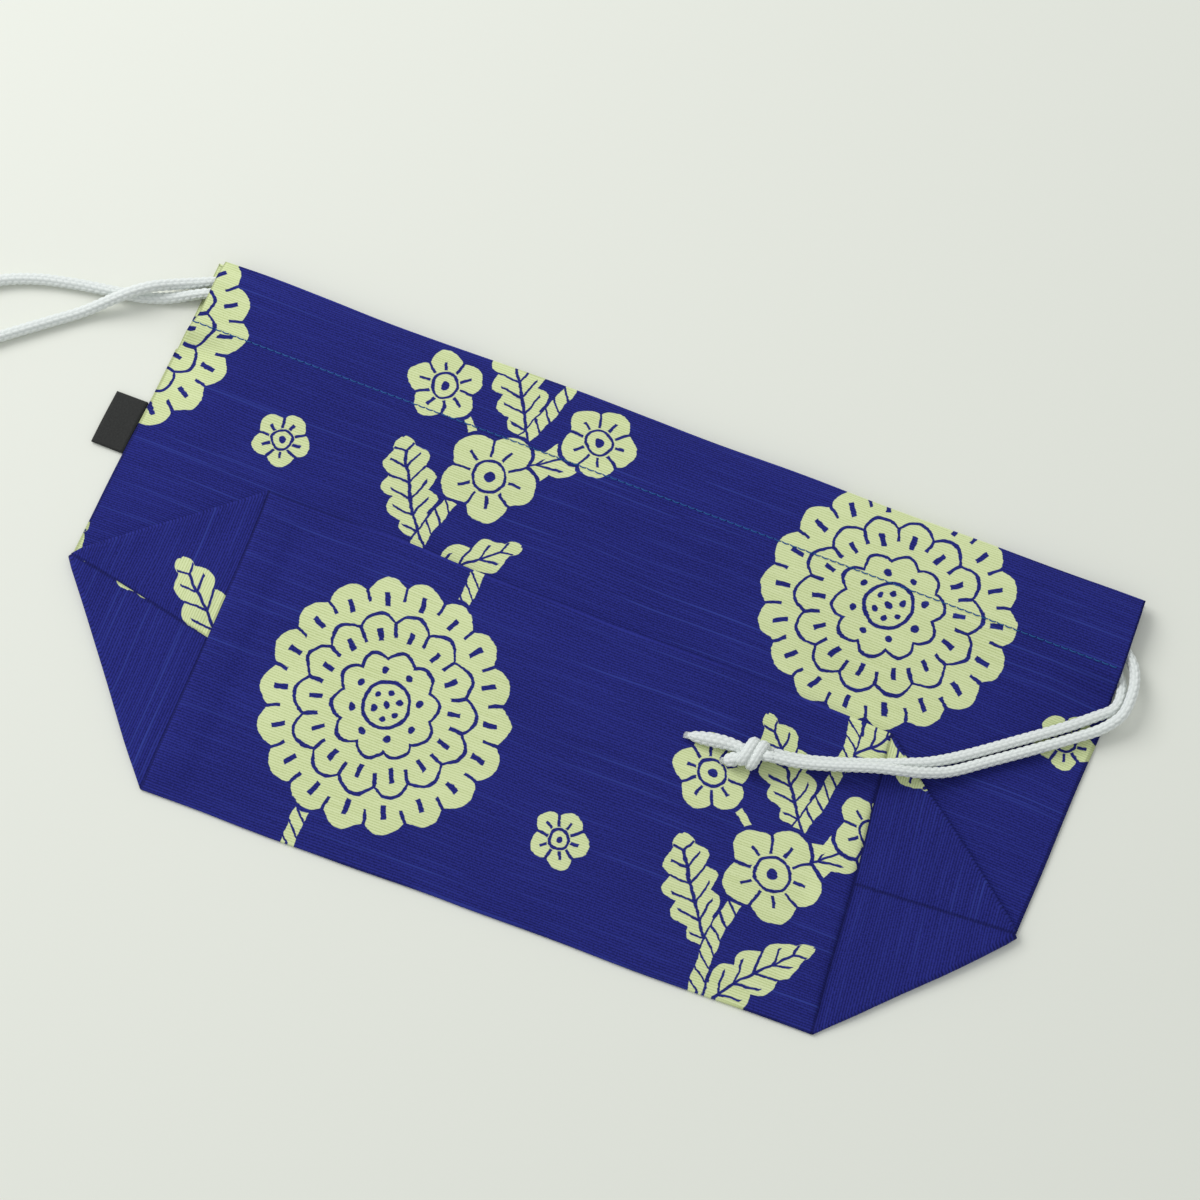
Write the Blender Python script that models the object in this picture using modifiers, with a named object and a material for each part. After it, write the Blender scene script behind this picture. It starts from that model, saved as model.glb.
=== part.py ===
"""A drawstring bag of printed cotton, emptied and folded flat on a table.

The bag is one rectangle of cloth, folded at the bottom and sewn up its sides, with its lower corners
boxed to make a flat base. Laid flat, the base folds up over the front, and each side corner folds into
a triangle. A casing along each top edge holds two cords, one pulled from each side.

Lengths are in metres. X runs along the bag's width, Y from its bottom fold to its mouth, Z is up, and
the origin is the middle of the underside.
"""

import math

import bmesh
import bpy
from mathutils import Matrix, Vector

OBJECT_NAME = "drawstring_bag"

# The bag, laid flat
BAG_WIDTH = 0.320
FLAT_HEIGHT = 0.1665
BASE_DEPTH = 0.100
CASING_HEIGHT = 0.0245
SLIT_HEIGHT = 0.034
TENT_LENGTH = 0.036

# Its cloth, the air between the layers, and the steps of a rounded fold
CLOTH_THICKNESS = 0.00045
LAYER_GAP = 0.0003
FOLD_STEPS = 4
CORNER_LEAN = 0.4

# How far each corner lies off the square, as it was folded by hand: (x, y), left and right
TOP_SLIP = ((0.0014, 0.0003), (0.0028, -0.0005))
SLIT_SLIP = ((-0.0008, 0.0010), (0.0032, -0.0005))
SIDE_SLIP = ((-0.0013, 0.0057), (-0.0010, 0.0016))
BASE_LOW_SLIP = ((0.0022, -0.0045), (0.0022, 0.0005))
BASE_HIGH_SLIP = ((0.0008, -0.0018), (-0.0048, -0.0028))
FRONT_INSET = (0.0013, 0.0)

# The casing: its hems stop short of the side edges, where the cords come out
HEM_SETBACK = 0.012
TOP_FOLD_RISE = 0.0035
ARC_STEP = math.radians(30)

# The side seams hold the front down near its edges, up to just above the slits' lower ends
PINCH_WIDTH = 0.025
PINCH_RISE = 0.004
EDGE_COLUMNS = (0.0, 0.006, 0.014, PINCH_WIDTH)

# The cords
CORD_DIAMETER = 0.0036
CORD_CLEARANCE = 0.0003
CORD_TO_TOP = 0.0057
CORD_PITCH_ACROSS = 0.0055
CORD_PITCH_BESIDE = 0.0042
KNOT_LENGTH = 0.0120
KNOT_WIDTH = 0.0100
KNOT_HEIGHT = 0.0080
KNOT_SIDES = 16
KNOT_RINGS = 10
TURN_STEPS = 8
BEVEL_STEPS = 2
ROUTE_STEPS = 12
WELD_DISTANCE = 0.00001

# The free strands of the two cords, from where the casing lets them go to their knots (x, y from the
# bottom fold, z)
STRANDS = {
    "left_strand_back": [
        (-0.1485, 0.1608, 0.00255), (-0.1515, 0.1608, 0.00255), (-0.1560, 0.1596, 0.0026),
        (-0.1615, 0.1570, 0.0025), (-0.1690, 0.1532, 0.0023), (-0.1752, 0.1499, 0.0042),
        (-0.1815, 0.1453, 0.0062), (-0.1872, 0.1393, 0.0042), (-0.1930, 0.1333, 0.0022),
        (-0.2016, 0.1263, 0.00185), (-0.2140, 0.1160, 0.00185), (-0.2250, 0.1065, 0.00185),
        (-0.2360, 0.0960, 0.00185), (-0.2455, 0.0860, 0.00185), (-0.2517, 0.0793, 0.0028),
    ],
    "left_strand_front": [
        (-0.1485, 0.1553, 0.00405), (-0.1515, 0.1553, 0.00405), (-0.1560, 0.1546, 0.0037),
        (-0.1615, 0.1522, 0.0026), (-0.1683, 0.1487, 0.00185), (-0.1766, 0.1458, 0.00185),
        (-0.1858, 0.1443, 0.00185), (-0.1988, 0.1421, 0.00185), (-0.2112, 0.1391, 0.00185),
        (-0.2227, 0.1341, 0.00185), (-0.2340, 0.1255, 0.00185), (-0.2435, 0.1140, 0.00185),
        (-0.2505, 0.1010, 0.00185), (-0.2548, 0.0885, 0.0022), (-0.2562, 0.0812, 0.0032),
    ],
    "right_strand_back": [
        (0.1485, 0.1456, 0.00255), (0.1515, 0.1456, 0.00255), (0.1565, 0.1448, 0.00255),
        (0.1612, 0.1422, 0.00255), (0.1644, 0.1383, 0.0025), (0.1656, 0.1336, 0.0026),
        (0.1644, 0.1292, 0.0033), (0.1604, 0.1253, 0.0038), (0.1520, 0.1184, 0.0042),
        (0.1394, 0.1089, 0.0039), (0.1260, 0.0991, 0.0036), (0.1170, 0.0926, 0.0044),
        (0.1095, 0.0886, 0.0051), (0.1010, 0.0852, 0.0049), (0.0890, 0.0809, 0.0049),
        (0.0790, 0.0780, 0.0050), (0.0707, 0.0766, 0.0054),
    ],
    "right_strand_front": [
        (0.1485, 0.1511, 0.00405), (0.1515, 0.1511, 0.00405), (0.1570, 0.1506, 0.00405),
        (0.1622, 0.1484, 0.0041), (0.1660, 0.1446, 0.0043), (0.1679, 0.1394, 0.0052),
        (0.1683, 0.1336, 0.0058), (0.1674, 0.1277, 0.0056), (0.1634, 0.1222, 0.0042),
        (0.1576, 0.1168, 0.0038), (0.1457, 0.1075, 0.0036), (0.1340, 0.0988, 0.0034),
        (0.1243, 0.0913, 0.0042), (0.1160, 0.0873, 0.0062), (0.1085, 0.0852, 0.0078),
        (0.1010, 0.0830, 0.0084), (0.0890, 0.0788, 0.0085), (0.0795, 0.0760, 0.0085),
        (0.0711, 0.0746, 0.0088),
    ],
}

# Each knot's middle, its turn about Z, and its two tails
KNOTS = {
    "left_knot": (
        (-0.2564, 0.0745, 0.0042),
        math.radians(63),
        [
            [(-0.2578, 0.0715, 0.0035), (-0.2608, 0.0655, 0.0019), (-0.2648, 0.0590, 0.0019)],
            [(-0.2550, 0.0715, 0.0035), (-0.2545, 0.0665, 0.0020), (-0.2550, 0.0625, 0.0019)],
        ],
    ),
    "right_knot": (
        (0.0643, 0.0743, 0.0071),
        math.radians(10),
        [
            [(0.0620, 0.0748, 0.0062), (0.0560, 0.0750, 0.0051), (0.0445, 0.0730, 0.0049)],
            [(0.0620, 0.0720, 0.0062), (0.0582, 0.0702, 0.0051), (0.0550, 0.0690, 0.0049)],
        ],
    ),
}

# The woven tag sewn into the left side seam
TAG_LENGTH = 0.0105
TAG_WIDTH = 0.0190
TAG_THICKNESS = 0.00025
TAG_FOLD_GAP = 0.00025
TAG_MIDDLE_TO_TOP = 0.0630

LAYER_PITCH = CLOTH_THICKNESS + LAYER_GAP
HALF_WIDTH = BAG_WIDTH / 2
FOLD_DEPTH = BASE_DEPTH / 2
CORD_RADIUS = CORD_DIAMETER / 2
STITCH_Y = FLAT_HEIGHT - CASING_HEIGHT
SLIT_Y = FLAT_HEIGHT - SLIT_HEIGHT
HUG = CORD_RADIUS + CORD_CLEARANCE + CLOTH_THICKNESS / 2


def layer_height(number):
    """The middle of a cloth layer, counted up from the one that lies on the table."""
    return CLOTH_THICKNESS / 2 + number * LAYER_PITCH


# The four cord runs in the casing, from the mouth down: back, front, front, back
SLOT_Y = [FLAT_HEIGHT - CORD_TO_TOP]
for step in (CORD_PITCH_ACROSS, CORD_PITCH_BESIDE, CORD_PITCH_ACROSS):
    SLOT_Y.append(SLOT_Y[-1] - step)
BACK_CORD_Z = CLOTH_THICKNESS + CORD_CLEARANCE + CORD_RADIUS
FRONT_CORD_Z = layer_height(2) + HUG
FRONT_TOP_Z = FRONT_CORD_Z + HUG


def corner(side, out, up, slips):
    """A corner of the flat outline: side 0 is the left one, 1 the right one."""
    sign = (-1, 1)[side]
    return Vector((sign * out + slips[side][0], up + slips[side][1]))


def pair(out, up, slips):
    return [corner(side, out, up, slips) for side in (0, 1)]


TOP = pair(HALF_WIDTH, FLAT_HEIGHT, TOP_SLIP)
SLIT = pair(HALF_WIDTH, SLIT_Y, SLIT_SLIP)
SIDE = pair(HALF_WIDTH, FOLD_DEPTH, SIDE_SLIP)
BASE_LOW = pair(HALF_WIDTH - FOLD_DEPTH, 0, BASE_LOW_SLIP)
BASE_HIGH = pair(HALF_WIDTH - FOLD_DEPTH, BASE_DEPTH, BASE_HIGH_SLIP)


def along_side(y):
    """The left and right side edges at a height y, as two points."""
    found = []
    for side in (0, 1):
        low, high = (SIDE, SLIT) if y < SLIT_Y else (SLIT, TOP)
        start, end = low[side], high[side]
        start_y, end_y = (FOLD_DEPTH, SLIT_Y) if y < SLIT_Y else (SLIT_Y, FLAT_HEIGHT)
        found.append(start.lerp(end, (y - start_y) / (end_y - start_y)))
    return found


TENT_Y = STITCH_Y - TENT_LENGTH
SEAM_YS = [FOLD_DEPTH, TENT_Y, TENT_Y + (SLIT_Y - TENT_Y) / 3, TENT_Y + (SLIT_Y - TENT_Y) * 2 / 3, SLIT_Y]


def smooth(t):
    t = min(1, max(0, t))
    return t * t * (3 - 2 * t)


def front_height(y, from_side, full):
    """The front layer's middle: it rises to the casing, and the side seam pins its edges down."""
    low = layer_height(1)
    pinned = 1 - smooth((y - SLIT_Y) / PINCH_RISE)
    return low + (full - low) * (1 - pinned * (1 - smooth(from_side / PINCH_WIDTH)))


def belt(stops):
    """A cloth drawn tight round a row of rods, as points (y, z). A stop is (y, z, radius), with the
    radius above 0 where the cloth passes over it and below 0 where it passes under it."""
    normals = []
    for (ay, az, ar), (by, bz, br) in zip(stops, stops[1:]):
        between = Vector((by - ay, bz - az))
        ahead = between.normalized()
        up = Vector((-ahead.y, ahead.x))
        if up.y < 0:
            up = -up
        lean = (ar - br) / between.length
        normals.append(ahead * lean + up * math.sqrt(max(0, 1 - lean * lean)))
    points = []
    for number, (y, z, radius) in enumerate(stops):
        first = normals[max(0, number - 1)]
        last = normals[min(number, len(normals) - 1)]
        turn = math.atan2(first.x * last.y - first.y * last.x, first.dot(last))
        steps = max(1, math.ceil(abs(turn) / ARC_STEP)) if radius else 1
        for step in range(steps + 1 if radius and abs(turn) > 1e-6 else 1):
            turned = Matrix.Rotation(turn * step / steps, 2) @ first
            points.append((y + turned.x * radius, z + turned.y * radius))
    return points


def half_turn(height_from, height_to):
    """The rows of a rounded fold, as (push outwards, height), without its first and last."""
    radius = (height_to - height_from) / 2
    rows = []
    for step in range(1, FOLD_STEPS):
        angle = math.pi * (step / FOLD_STEPS - 0.5)
        rows.append((abs(radius) * math.cos(angle), (height_from + height_to) / 2 + radius * math.sin(angle)))
    return rows


class Cloth:
    """An open sheet of cloth in rows that run from the left edge to the right one."""

    def __init__(self):
        self.mesh = bmesh.new()
        self.rows = []

    def row(self, ends, height):
        """Adds a row between two points. height is a number or a function of the way in from the edge."""
        left, right = ends
        along = right - left
        long = along.length
        places = [*EDGE_COLUMNS, long / 2] + [long - d for d in reversed(EDGE_COLUMNS)]
        made = []
        for place in places:
            point = left + along * (place / long)
            z = height(min(place, long - place)) if callable(height) else height
            made.append(self.mesh.verts.new((point.x, point.y - FLAT_HEIGHT / 2, z)))
        if self.rows:
            for number in range(len(made) - 1):
                before = self.rows[-1]
                self.mesh.faces.new((before[number], before[number + 1], made[number + 1], made[number]))
        self.rows.append(made)
        return made

    def point(self, place, height):
        return self.mesh.verts.new((place.x, place.y - FLAT_HEIGHT / 2, height))

    def strip(self, first, second):
        for number in range(len(first) - 1):
            self.mesh.faces.new((first[number], first[number + 1], second[number + 1], second[number]))


def pushed_out(ends, neighbours, push, way):
    """A fold's two ends moved out of the flat outline: way is -1 at the bottom fold and 1 at the far one."""
    found = []
    for side in (0, 1):
        along = (ends[side] - ends[1 - side]).normalized()
        diagonal = (neighbours[side] - ends[side]).normalized()
        normals = [Vector((along.y, -along.x)), Vector((diagonal.y, -diagonal.x))]
        normals = [n if n.y * way > 0 else -n for n in normals]
        middle = (normals[0] + normals[1]).normalized()
        found.append(ends[side] + middle * push / middle.dot(normals[0]))
    return found


def front_edge(y):
    """The front layer's side edges in the casing, where the slit lets them draw in a little."""
    ends = along_side(y)
    return [ends[0] + Vector((FRONT_INSET[0], 0)), ends[1] - Vector((FRONT_INSET[1], 0))]


def hem_row(cloth, y, z, height_of=None):
    """A row of a casing's hem, which stops short of the slits."""
    reach = HALF_WIDTH - HEM_SETBACK
    ends = [Vector((-reach, y)), Vector((reach, y))]
    if height_of is None:
        return cloth.row(ends, z)
    return cloth.row(ends, lambda d: height_of(d + HEM_SETBACK))


def casing_rods(radius_over_back, radius_under_front):
    """The stops of a hem: over the back casing's cords, and under or over the front casing's."""
    return [
        (SLOT_Y[0], BACK_CORD_Z, radius_over_back),
        (SLOT_Y[1], FRONT_CORD_Z, radius_under_front),
        (SLOT_Y[2], FRONT_CORD_Z, radius_under_front),
        (SLOT_Y[3], BACK_CORD_Z, radius_over_back),
    ]


def make_bag():
    """The whole bag as one sheet: back hem, back, base, folded front, front and front hem."""
    cloth = Cloth()
    flat = layer_height(0)

    # The back casing's hem, from the stitch row up to the mouth, hugging the back casing's cords
    back_hem = belt(
        [(FLAT_HEIGHT - TOP_FOLD_RISE / 2, layer_height(1), 0)]
        + casing_rods(HUG, -HUG - LAYER_PITCH)
        + [(STITCH_Y, layer_height(1), 0)]
    )
    for y, z in reversed(back_hem):
        hem_row(cloth, y, z)
    for push, z in half_turn(layer_height(1), flat):
        cloth.row([p + Vector((0, push)) for p in along_side(FLAT_HEIGHT)], z)

    # The back, flat on the table, down to the bottom fold
    for y in (FLAT_HEIGHT, STITCH_Y):
        cloth.row(along_side(y), flat)
    back_side = [cloth.row(along_side(y), flat) for y in reversed(SEAM_YS)]
    base_back = cloth.row(BASE_LOW, flat)

    # The bottom fold, the base laid up over the front, and its far fold
    bottom_fold = [base_back]
    for push, z in half_turn(flat, layer_height(1)):
        bottom_fold.append(cloth.row(pushed_out(BASE_LOW, SIDE, push, -1), z))
    bottom_fold.append(cloth.row(BASE_LOW, layer_height(1)))
    side_base = cloth.row(SIDE, layer_height(3))
    far_fold = [cloth.row(BASE_HIGH, layer_height(3))]
    for push, z in half_turn(layer_height(3), layer_height(2)):
        far_fold.append(cloth.row(pushed_out(BASE_HIGH, SIDE, push, 1), z))
    far_fold.append(cloth.row(BASE_HIGH, layer_height(2)))

    # The front comes back down under the base, turns, and runs up to the mouth
    front_fold = [cloth.row(SIDE, layer_height(2))]
    for push, z in half_turn(layer_height(2), layer_height(1)):
        front_fold.append(cloth.row([p - Vector((0, push)) for p in SIDE], z))
    front_side = []
    for y in SEAM_YS:
        rise = max(0, (y - TENT_Y) / (STITCH_Y - TENT_Y))
        full = layer_height(1) + (FRONT_TOP_Z - layer_height(1)) * rise
        front_side.append(cloth.row(along_side(y), lambda d, y=y, full=full: front_height(y, d, full)))
    front_fold.append(front_side[0])

    # The front casing: the outer cloth over all four cord runs, the fold at the mouth, then the hem
    mouth_z = FRONT_TOP_Z - TOP_FOLD_RISE / 2
    rise = (SLIT_Y + PINCH_RISE - TENT_Y) / (STITCH_Y - TENT_Y)
    outer = belt(
        [
            (SLIT_Y + PINCH_RISE, layer_height(1) + (FRONT_TOP_Z - layer_height(1)) * rise, 0),
            (STITCH_Y, FRONT_TOP_Z, 0),
        ]
        + casing_rods(HUG + 2 * LAYER_PITCH, HUG)[::-1]
        + [(FLAT_HEIGHT, mouth_z, 0)]
    )
    for y, z in outer:
        cloth.row(front_edge(y), lambda d, y=y, z=z: front_height(y, d, z))
    for push, z in half_turn(mouth_z, mouth_z - LAYER_PITCH):
        cloth.row([p + Vector((0, push)) for p in front_edge(FLAT_HEIGHT)], z)
    front_hem = belt(
        [(FLAT_HEIGHT - TOP_FOLD_RISE / 2, mouth_z - LAYER_PITCH, 0)]
        + casing_rods(HUG + LAYER_PITCH, -HUG)
        + [(STITCH_Y, FRONT_TOP_Z - LAYER_PITCH, 0)]
    )
    for y, z in front_hem:
        hem_row(cloth, y, z, lambda d, y=y, z=z: front_height(y, d, z))

    for side in (0, 1):
        close_side(cloth, side, bottom_fold, side_base, far_fold, front_fold, front_side, back_side[::-1])
    bmesh.ops.recalc_face_normals(cloth.mesh, faces=cloth.mesh.faces)
    return cloth.mesh


def close_side(cloth, side, bottom_fold, side_base, far_fold, front_fold, front_side, back_side):
    """One side of the bag: the two diagonal folds of its corner triangle, and the side seam above."""
    end = (0, -1)[side]
    sign = (-1, 1)[side]
    place = SIDE[side]

    # The lower diagonal fold wraps round all the layers at the side corner
    down = Vector((sign, -CORNER_LEAN)).normalized()
    lower_arc = [back_side[0][end]]
    for push, z in half_turn(layer_height(0), layer_height(3)):
        lower_arc.append(cloth.point(place + down * push, z))
    lower_arc.append(side_base[end])
    cloth.strip([row[end] for row in bottom_fold], lower_arc)

    # The upper diagonal fold
    up = Vector((sign, CORNER_LEAN)).normalized()
    upper_arc = [side_base[end]]
    for push, z in half_turn(layer_height(3), layer_height(2)):
        upper_arc.append(cloth.point(place + up * push, z))
    upper_arc.append(front_fold[0][end])
    cloth.strip([row[end] for row in far_fold], upper_arc)

    # The side seam, between the front's edge and the back's
    arcs = []
    for front, back in zip(front_side, back_side):
        foot = back[end].co
        arc = [front[end]]
        for push, z in half_turn(layer_height(1), layer_height(0)):
            arc.append(cloth.mesh.verts.new((foot.x + sign * push, foot.y, z)))
        arcs.append(arc + [back[end]])
    for low, high in zip(arcs, arcs[1:]):
        cloth.strip(low, high)

    # The corner itself, where the four folds and the seam meet
    loop = lower_arc[:-1] + upper_arc[:-1] + [row[end] for row in front_fold][:-1] + arcs[0][:-1]
    middle = sum((vert.co for vert in loop), Vector()) / len(loop)
    centre = cloth.mesh.verts.new(middle)
    for first, second in zip(loop, loop[1:] + loop[:1]):
        cloth.mesh.faces.new((first, second, centre))


def material(name, colour, roughness, metallic=0.0):
    made = bpy.data.materials.new(name)
    made.use_nodes = True
    shader = made.node_tree.nodes["Principled BSDF"]
    shader.inputs["Base Color"].default_value = (*colour, 1)
    shader.inputs["Roughness"].default_value = roughness
    shader.inputs["Metallic"].default_value = metallic
    return made


def add_object(name, data, finish):
    thing = bpy.data.objects.new(name, data)
    data.materials.append(finish)
    bpy.data.collections[OBJECT_NAME].objects.link(thing)
    return thing


def add_sheet(name, sheet, thickness, finish):
    """An open sheet given the cloth's thickness, half to each side."""
    mesh = bpy.data.meshes.new(name)
    sheet.to_mesh(mesh)
    sheet.free()
    thing = add_object(name, mesh, finish)
    wall = thing.modifiers.new("thickness", "SOLIDIFY")
    wall.thickness = thickness
    wall.offset = 0
    return thing


def smooth_route(points, spacing):
    """Points read every so far along a smooth curve through the route's own points."""
    points = [Vector(p) for p in points]
    dense = []
    for number in range(len(points) - 1):
        p0 = points[max(0, number - 1)]
        p1, p2 = points[number], points[number + 1]
        p3 = points[min(len(points) - 1, number + 2)]
        for step in range(ROUTE_STEPS):
            t = step / ROUTE_STEPS
            dense.append(
                0.5
                * (
                    2 * p1
                    + (p2 - p0) * t
                    + (2 * p0 - 5 * p1 + 4 * p2 - p3) * t * t
                    + (3 * p1 - p0 - 3 * p2 + p3) * t**3
                )
            )
    dense.append(points[-1])
    lengths = [0.0]
    for before, after in zip(dense, dense[1:]):
        lengths.append(lengths[-1] + (after - before).length)
    count = max(2, round(lengths[-1] / spacing))
    found, place = [], 0
    for number in range(count + 1):
        wanted = lengths[-1] * number / count
        while place < len(dense) - 2 and lengths[place + 1] < wanted:
            place += 1
        share = (wanted - lengths[place]) / max(1e-9, lengths[place + 1] - lengths[place])
        found.append(dense[place].lerp(dense[place + 1], min(1, share)))
    return found


def add_tube(name, points, diameter, finish):
    """A cord as a curve with a round bevel and closed ends."""
    curve = bpy.data.curves.new(name, "CURVE")
    curve.dimensions = "3D"
    curve.bevel_depth = diameter / 2
    curve.bevel_resolution = BEVEL_STEPS
    curve.use_fill_caps = True
    spline = curve.splines.new("POLY")
    spline.points.add(len(points) - 1)
    for slot, point in zip(spline.points, points):
        slot.co = (point[0], point[1], point[2], 1)
    return add_object(name, curve, finish)


def casing_run(side, back_slot, front_slot):
    """One cord inside the casing: across the back, round the far side slit, and back across the front."""
    sign = (-1, 1)[side]
    start_x = sign * (HALF_WIDTH - HEM_SETBACK)
    turn_x = -start_x
    back_y, front_y = SLOT_Y[back_slot], SLOT_Y[front_slot]
    middle, radius = (back_y + front_y) / 2, (back_y - front_y) / 2
    points = [(start_x, back_y, BACK_CORD_Z)]
    for step in range(TURN_STEPS + 1):
        angle = math.pi * step / TURN_STEPS
        rise = smooth(step / TURN_STEPS)
        points.append(
            (
                turn_x - sign * abs(radius) * math.sin(angle),
                middle + radius * math.cos(angle),
                BACK_CORD_Z + (FRONT_CORD_Z - BACK_CORD_Z) * rise,
            )
        )
    points.append((start_x, front_y, FRONT_CORD_Z))
    return [Vector((x, y - FLAT_HEIGHT / 2, z)) for x, y, z in points]


def add_knot(name, place, turn, tails, finish):
    """The stopper knot in which both strands of a cord end, with the two tails beyond it."""
    knot = bmesh.new()
    bmesh.ops.create_uvsphere(knot, u_segments=KNOT_SIDES, v_segments=KNOT_RINGS, radius=0.5)
    bmesh.ops.scale(knot, vec=(KNOT_LENGTH, KNOT_WIDTH, KNOT_HEIGHT), verts=knot.verts)
    bmesh.ops.rotate(knot, cent=(0, 0, 0), matrix=Matrix.Rotation(turn, 3, "Z"), verts=knot.verts)
    bmesh.ops.translate(knot, vec=place, verts=knot.verts)
    mesh = bpy.data.meshes.new(name)
    knot.to_mesh(mesh)
    knot.free()
    thing = add_object(name, mesh, finish)
    for number, tail in enumerate(tails):
        tube = add_tube(f"{name}_tail_{number + 1}", smooth_route(tail, CORD_DIAMETER), CORD_DIAMETER, finish)
        join(thing, tube)
    return thing


def join(thing, tube):
    """Unites a cord's tube with a solid: the curve is first made a closed mesh."""
    graph = bpy.context.evaluated_depsgraph_get()
    mesh = bpy.data.meshes.new_from_object(tube.evaluated_get(graph))
    solid = bmesh.new()
    solid.from_mesh(mesh)
    bmesh.ops.remove_doubles(solid, verts=solid.verts, dist=WELD_DISTANCE)
    solid.to_mesh(mesh)
    solid.free()
    name = tube.name
    bpy.data.objects.remove(tube)
    cutter = bpy.data.objects.new(f"{name}_solid", mesh)
    bpy.data.collections["cutters"].objects.link(cutter)
    cutter.hide_render = True
    cutter.display_type = "WIRE"
    union = thing.modifiers.new(name, "BOOLEAN")
    union.operation = "UNION"
    union.object = cutter


def make_tag():
    """A woven tape folded in two, its ends tucked into the side seam."""
    sheet = bmesh.new()
    middle_y = FLAT_HEIGHT - TAG_MIDDLE_TO_TOP
    seam = along_side(middle_y)[0]
    lean = (along_side(middle_y + TAG_WIDTH)[0] - seam).normalized()
    root = seam.x - LAYER_PITCH / 2 - CLOTH_THICKNESS / 2 - CORD_CLEARANCE
    reach = TAG_LENGTH - (seam.x - root)
    middle_z = layer_height(0.5)
    half = (TAG_THICKNESS + TAG_FOLD_GAP) / 2
    profile = [(0, -half), (-reach + half, -half)]
    for step in range(1, FOLD_STEPS):
        angle = math.pi * (step / FOLD_STEPS + 0.5)
        profile.append((-reach + half + half * math.cos(angle), -half * math.sin(angle)))
    profile += [(-reach + half, half), (0, half)]
    rows = []
    for x, z in profile:
        row = []
        for way in (-0.5, 0.5):
            place = Vector((root + x, middle_y)) + lean * TAG_WIDTH * way
            row.append(sheet.verts.new((place.x, place.y - FLAT_HEIGHT / 2, middle_z + z)))
        rows.append(row)
    for low, high in zip(rows, rows[1:]):
        sheet.faces.new((low[0], low[1], high[1], high[0]))
    bmesh.ops.recalc_face_normals(sheet, faces=sheet.faces)
    return sheet


for thing in list(bpy.data.objects):
    bpy.data.objects.remove(thing)
for name in (OBJECT_NAME, "cutters"):
    bpy.context.scene.collection.children.link(bpy.data.collections.new(name))

cotton = material("printed_cotton", (0.025, 0.022, 0.19), 0.9)
braid = material("white_cord", (0.72, 0.76, 0.75), 0.85)
tape = material("black_tape", (0.03, 0.03, 0.028), 0.8)

add_sheet("bag_cloth", make_bag(), CLOTH_THICKNESS, cotton)
add_sheet("side_tag", make_tag(), TAG_THICKNESS, tape)
add_tube("left_cord_in_casing", casing_run(0, 0, 1), CORD_DIAMETER, braid)
add_tube("right_cord_in_casing", casing_run(1, 3, 2), CORD_DIAMETER, braid)
for name, route in STRANDS.items():
    points = [(x, y - FLAT_HEIGHT / 2, z) for x, y, z in route]
    add_tube(name, smooth_route(points, 2 * CORD_DIAMETER), CORD_DIAMETER, braid)
for name, (place, turn, tails) in KNOTS.items():
    shift = Vector((0, -FLAT_HEIGHT / 2, 0))
    add_knot(name, Vector(place) + shift, turn, [[Vector(p) + shift for p in tail] for tail in tails], braid)
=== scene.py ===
import math
import random

import bmesh
import bpy
import numpy as np
from mathutils import Matrix, Vector, noise


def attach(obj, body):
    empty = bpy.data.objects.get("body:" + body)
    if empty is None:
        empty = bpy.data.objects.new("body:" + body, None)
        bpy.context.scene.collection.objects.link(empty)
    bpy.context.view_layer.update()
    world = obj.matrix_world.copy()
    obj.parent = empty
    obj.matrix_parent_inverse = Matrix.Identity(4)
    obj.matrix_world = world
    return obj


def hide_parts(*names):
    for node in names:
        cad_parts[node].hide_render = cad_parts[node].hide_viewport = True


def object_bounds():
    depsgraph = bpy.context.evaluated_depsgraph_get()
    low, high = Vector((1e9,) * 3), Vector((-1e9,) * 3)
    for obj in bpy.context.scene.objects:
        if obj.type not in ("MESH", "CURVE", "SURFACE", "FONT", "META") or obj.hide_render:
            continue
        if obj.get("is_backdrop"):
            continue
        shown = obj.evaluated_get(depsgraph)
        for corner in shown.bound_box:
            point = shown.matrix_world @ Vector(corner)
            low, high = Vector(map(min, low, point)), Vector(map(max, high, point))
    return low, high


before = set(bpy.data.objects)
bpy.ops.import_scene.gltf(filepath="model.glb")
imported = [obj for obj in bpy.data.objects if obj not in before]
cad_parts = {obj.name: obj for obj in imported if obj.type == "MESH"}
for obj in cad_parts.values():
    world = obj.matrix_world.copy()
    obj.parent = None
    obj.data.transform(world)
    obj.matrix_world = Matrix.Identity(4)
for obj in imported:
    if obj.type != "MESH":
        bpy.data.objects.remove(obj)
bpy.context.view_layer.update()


def placed(name, data):
    """A new object in the scene, with its data's own coordinates."""
    made = bpy.data.objects.new(name, data)
    bpy.context.scene.collection.objects.link(made)
    return made


# The table: a pale matt top that runs on behind the bag, under a broad soft light from the upper
# left and an even sky, as in a small photo studio. The camera looks steeply down from the front.
MM = 0.001
TABLE_COLOUR = (0.800, 0.812, 0.745)
TABLE_GAP = 0.05 * MM
TABLE_REACH = 6

tabletop = bpy.data.meshes.new("tabletop")
corners = [(-1, -1), (1, -1), (1, 1), (-1, 1)]
tabletop.from_pydata(
    [(x * TABLE_REACH, y * TABLE_REACH, -TABLE_GAP) for x, y in corners], [], [(0, 1, 2, 3)]
)
table = placed("table", tabletop)
table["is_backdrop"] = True

table_paint = bpy.data.materials.new("table_paint")
table_paint.use_nodes = True
table_shader = table_paint.node_tree.nodes["Principled BSDF"]
table_shader.inputs["Base Color"].default_value = (*TABLE_COLOUR, 1)
table_shader.inputs["Roughness"].default_value = 0.9
table_shader.inputs["Specular IOR Level"].default_value = 0.1
tabletop.materials.append(table_paint)

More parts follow.
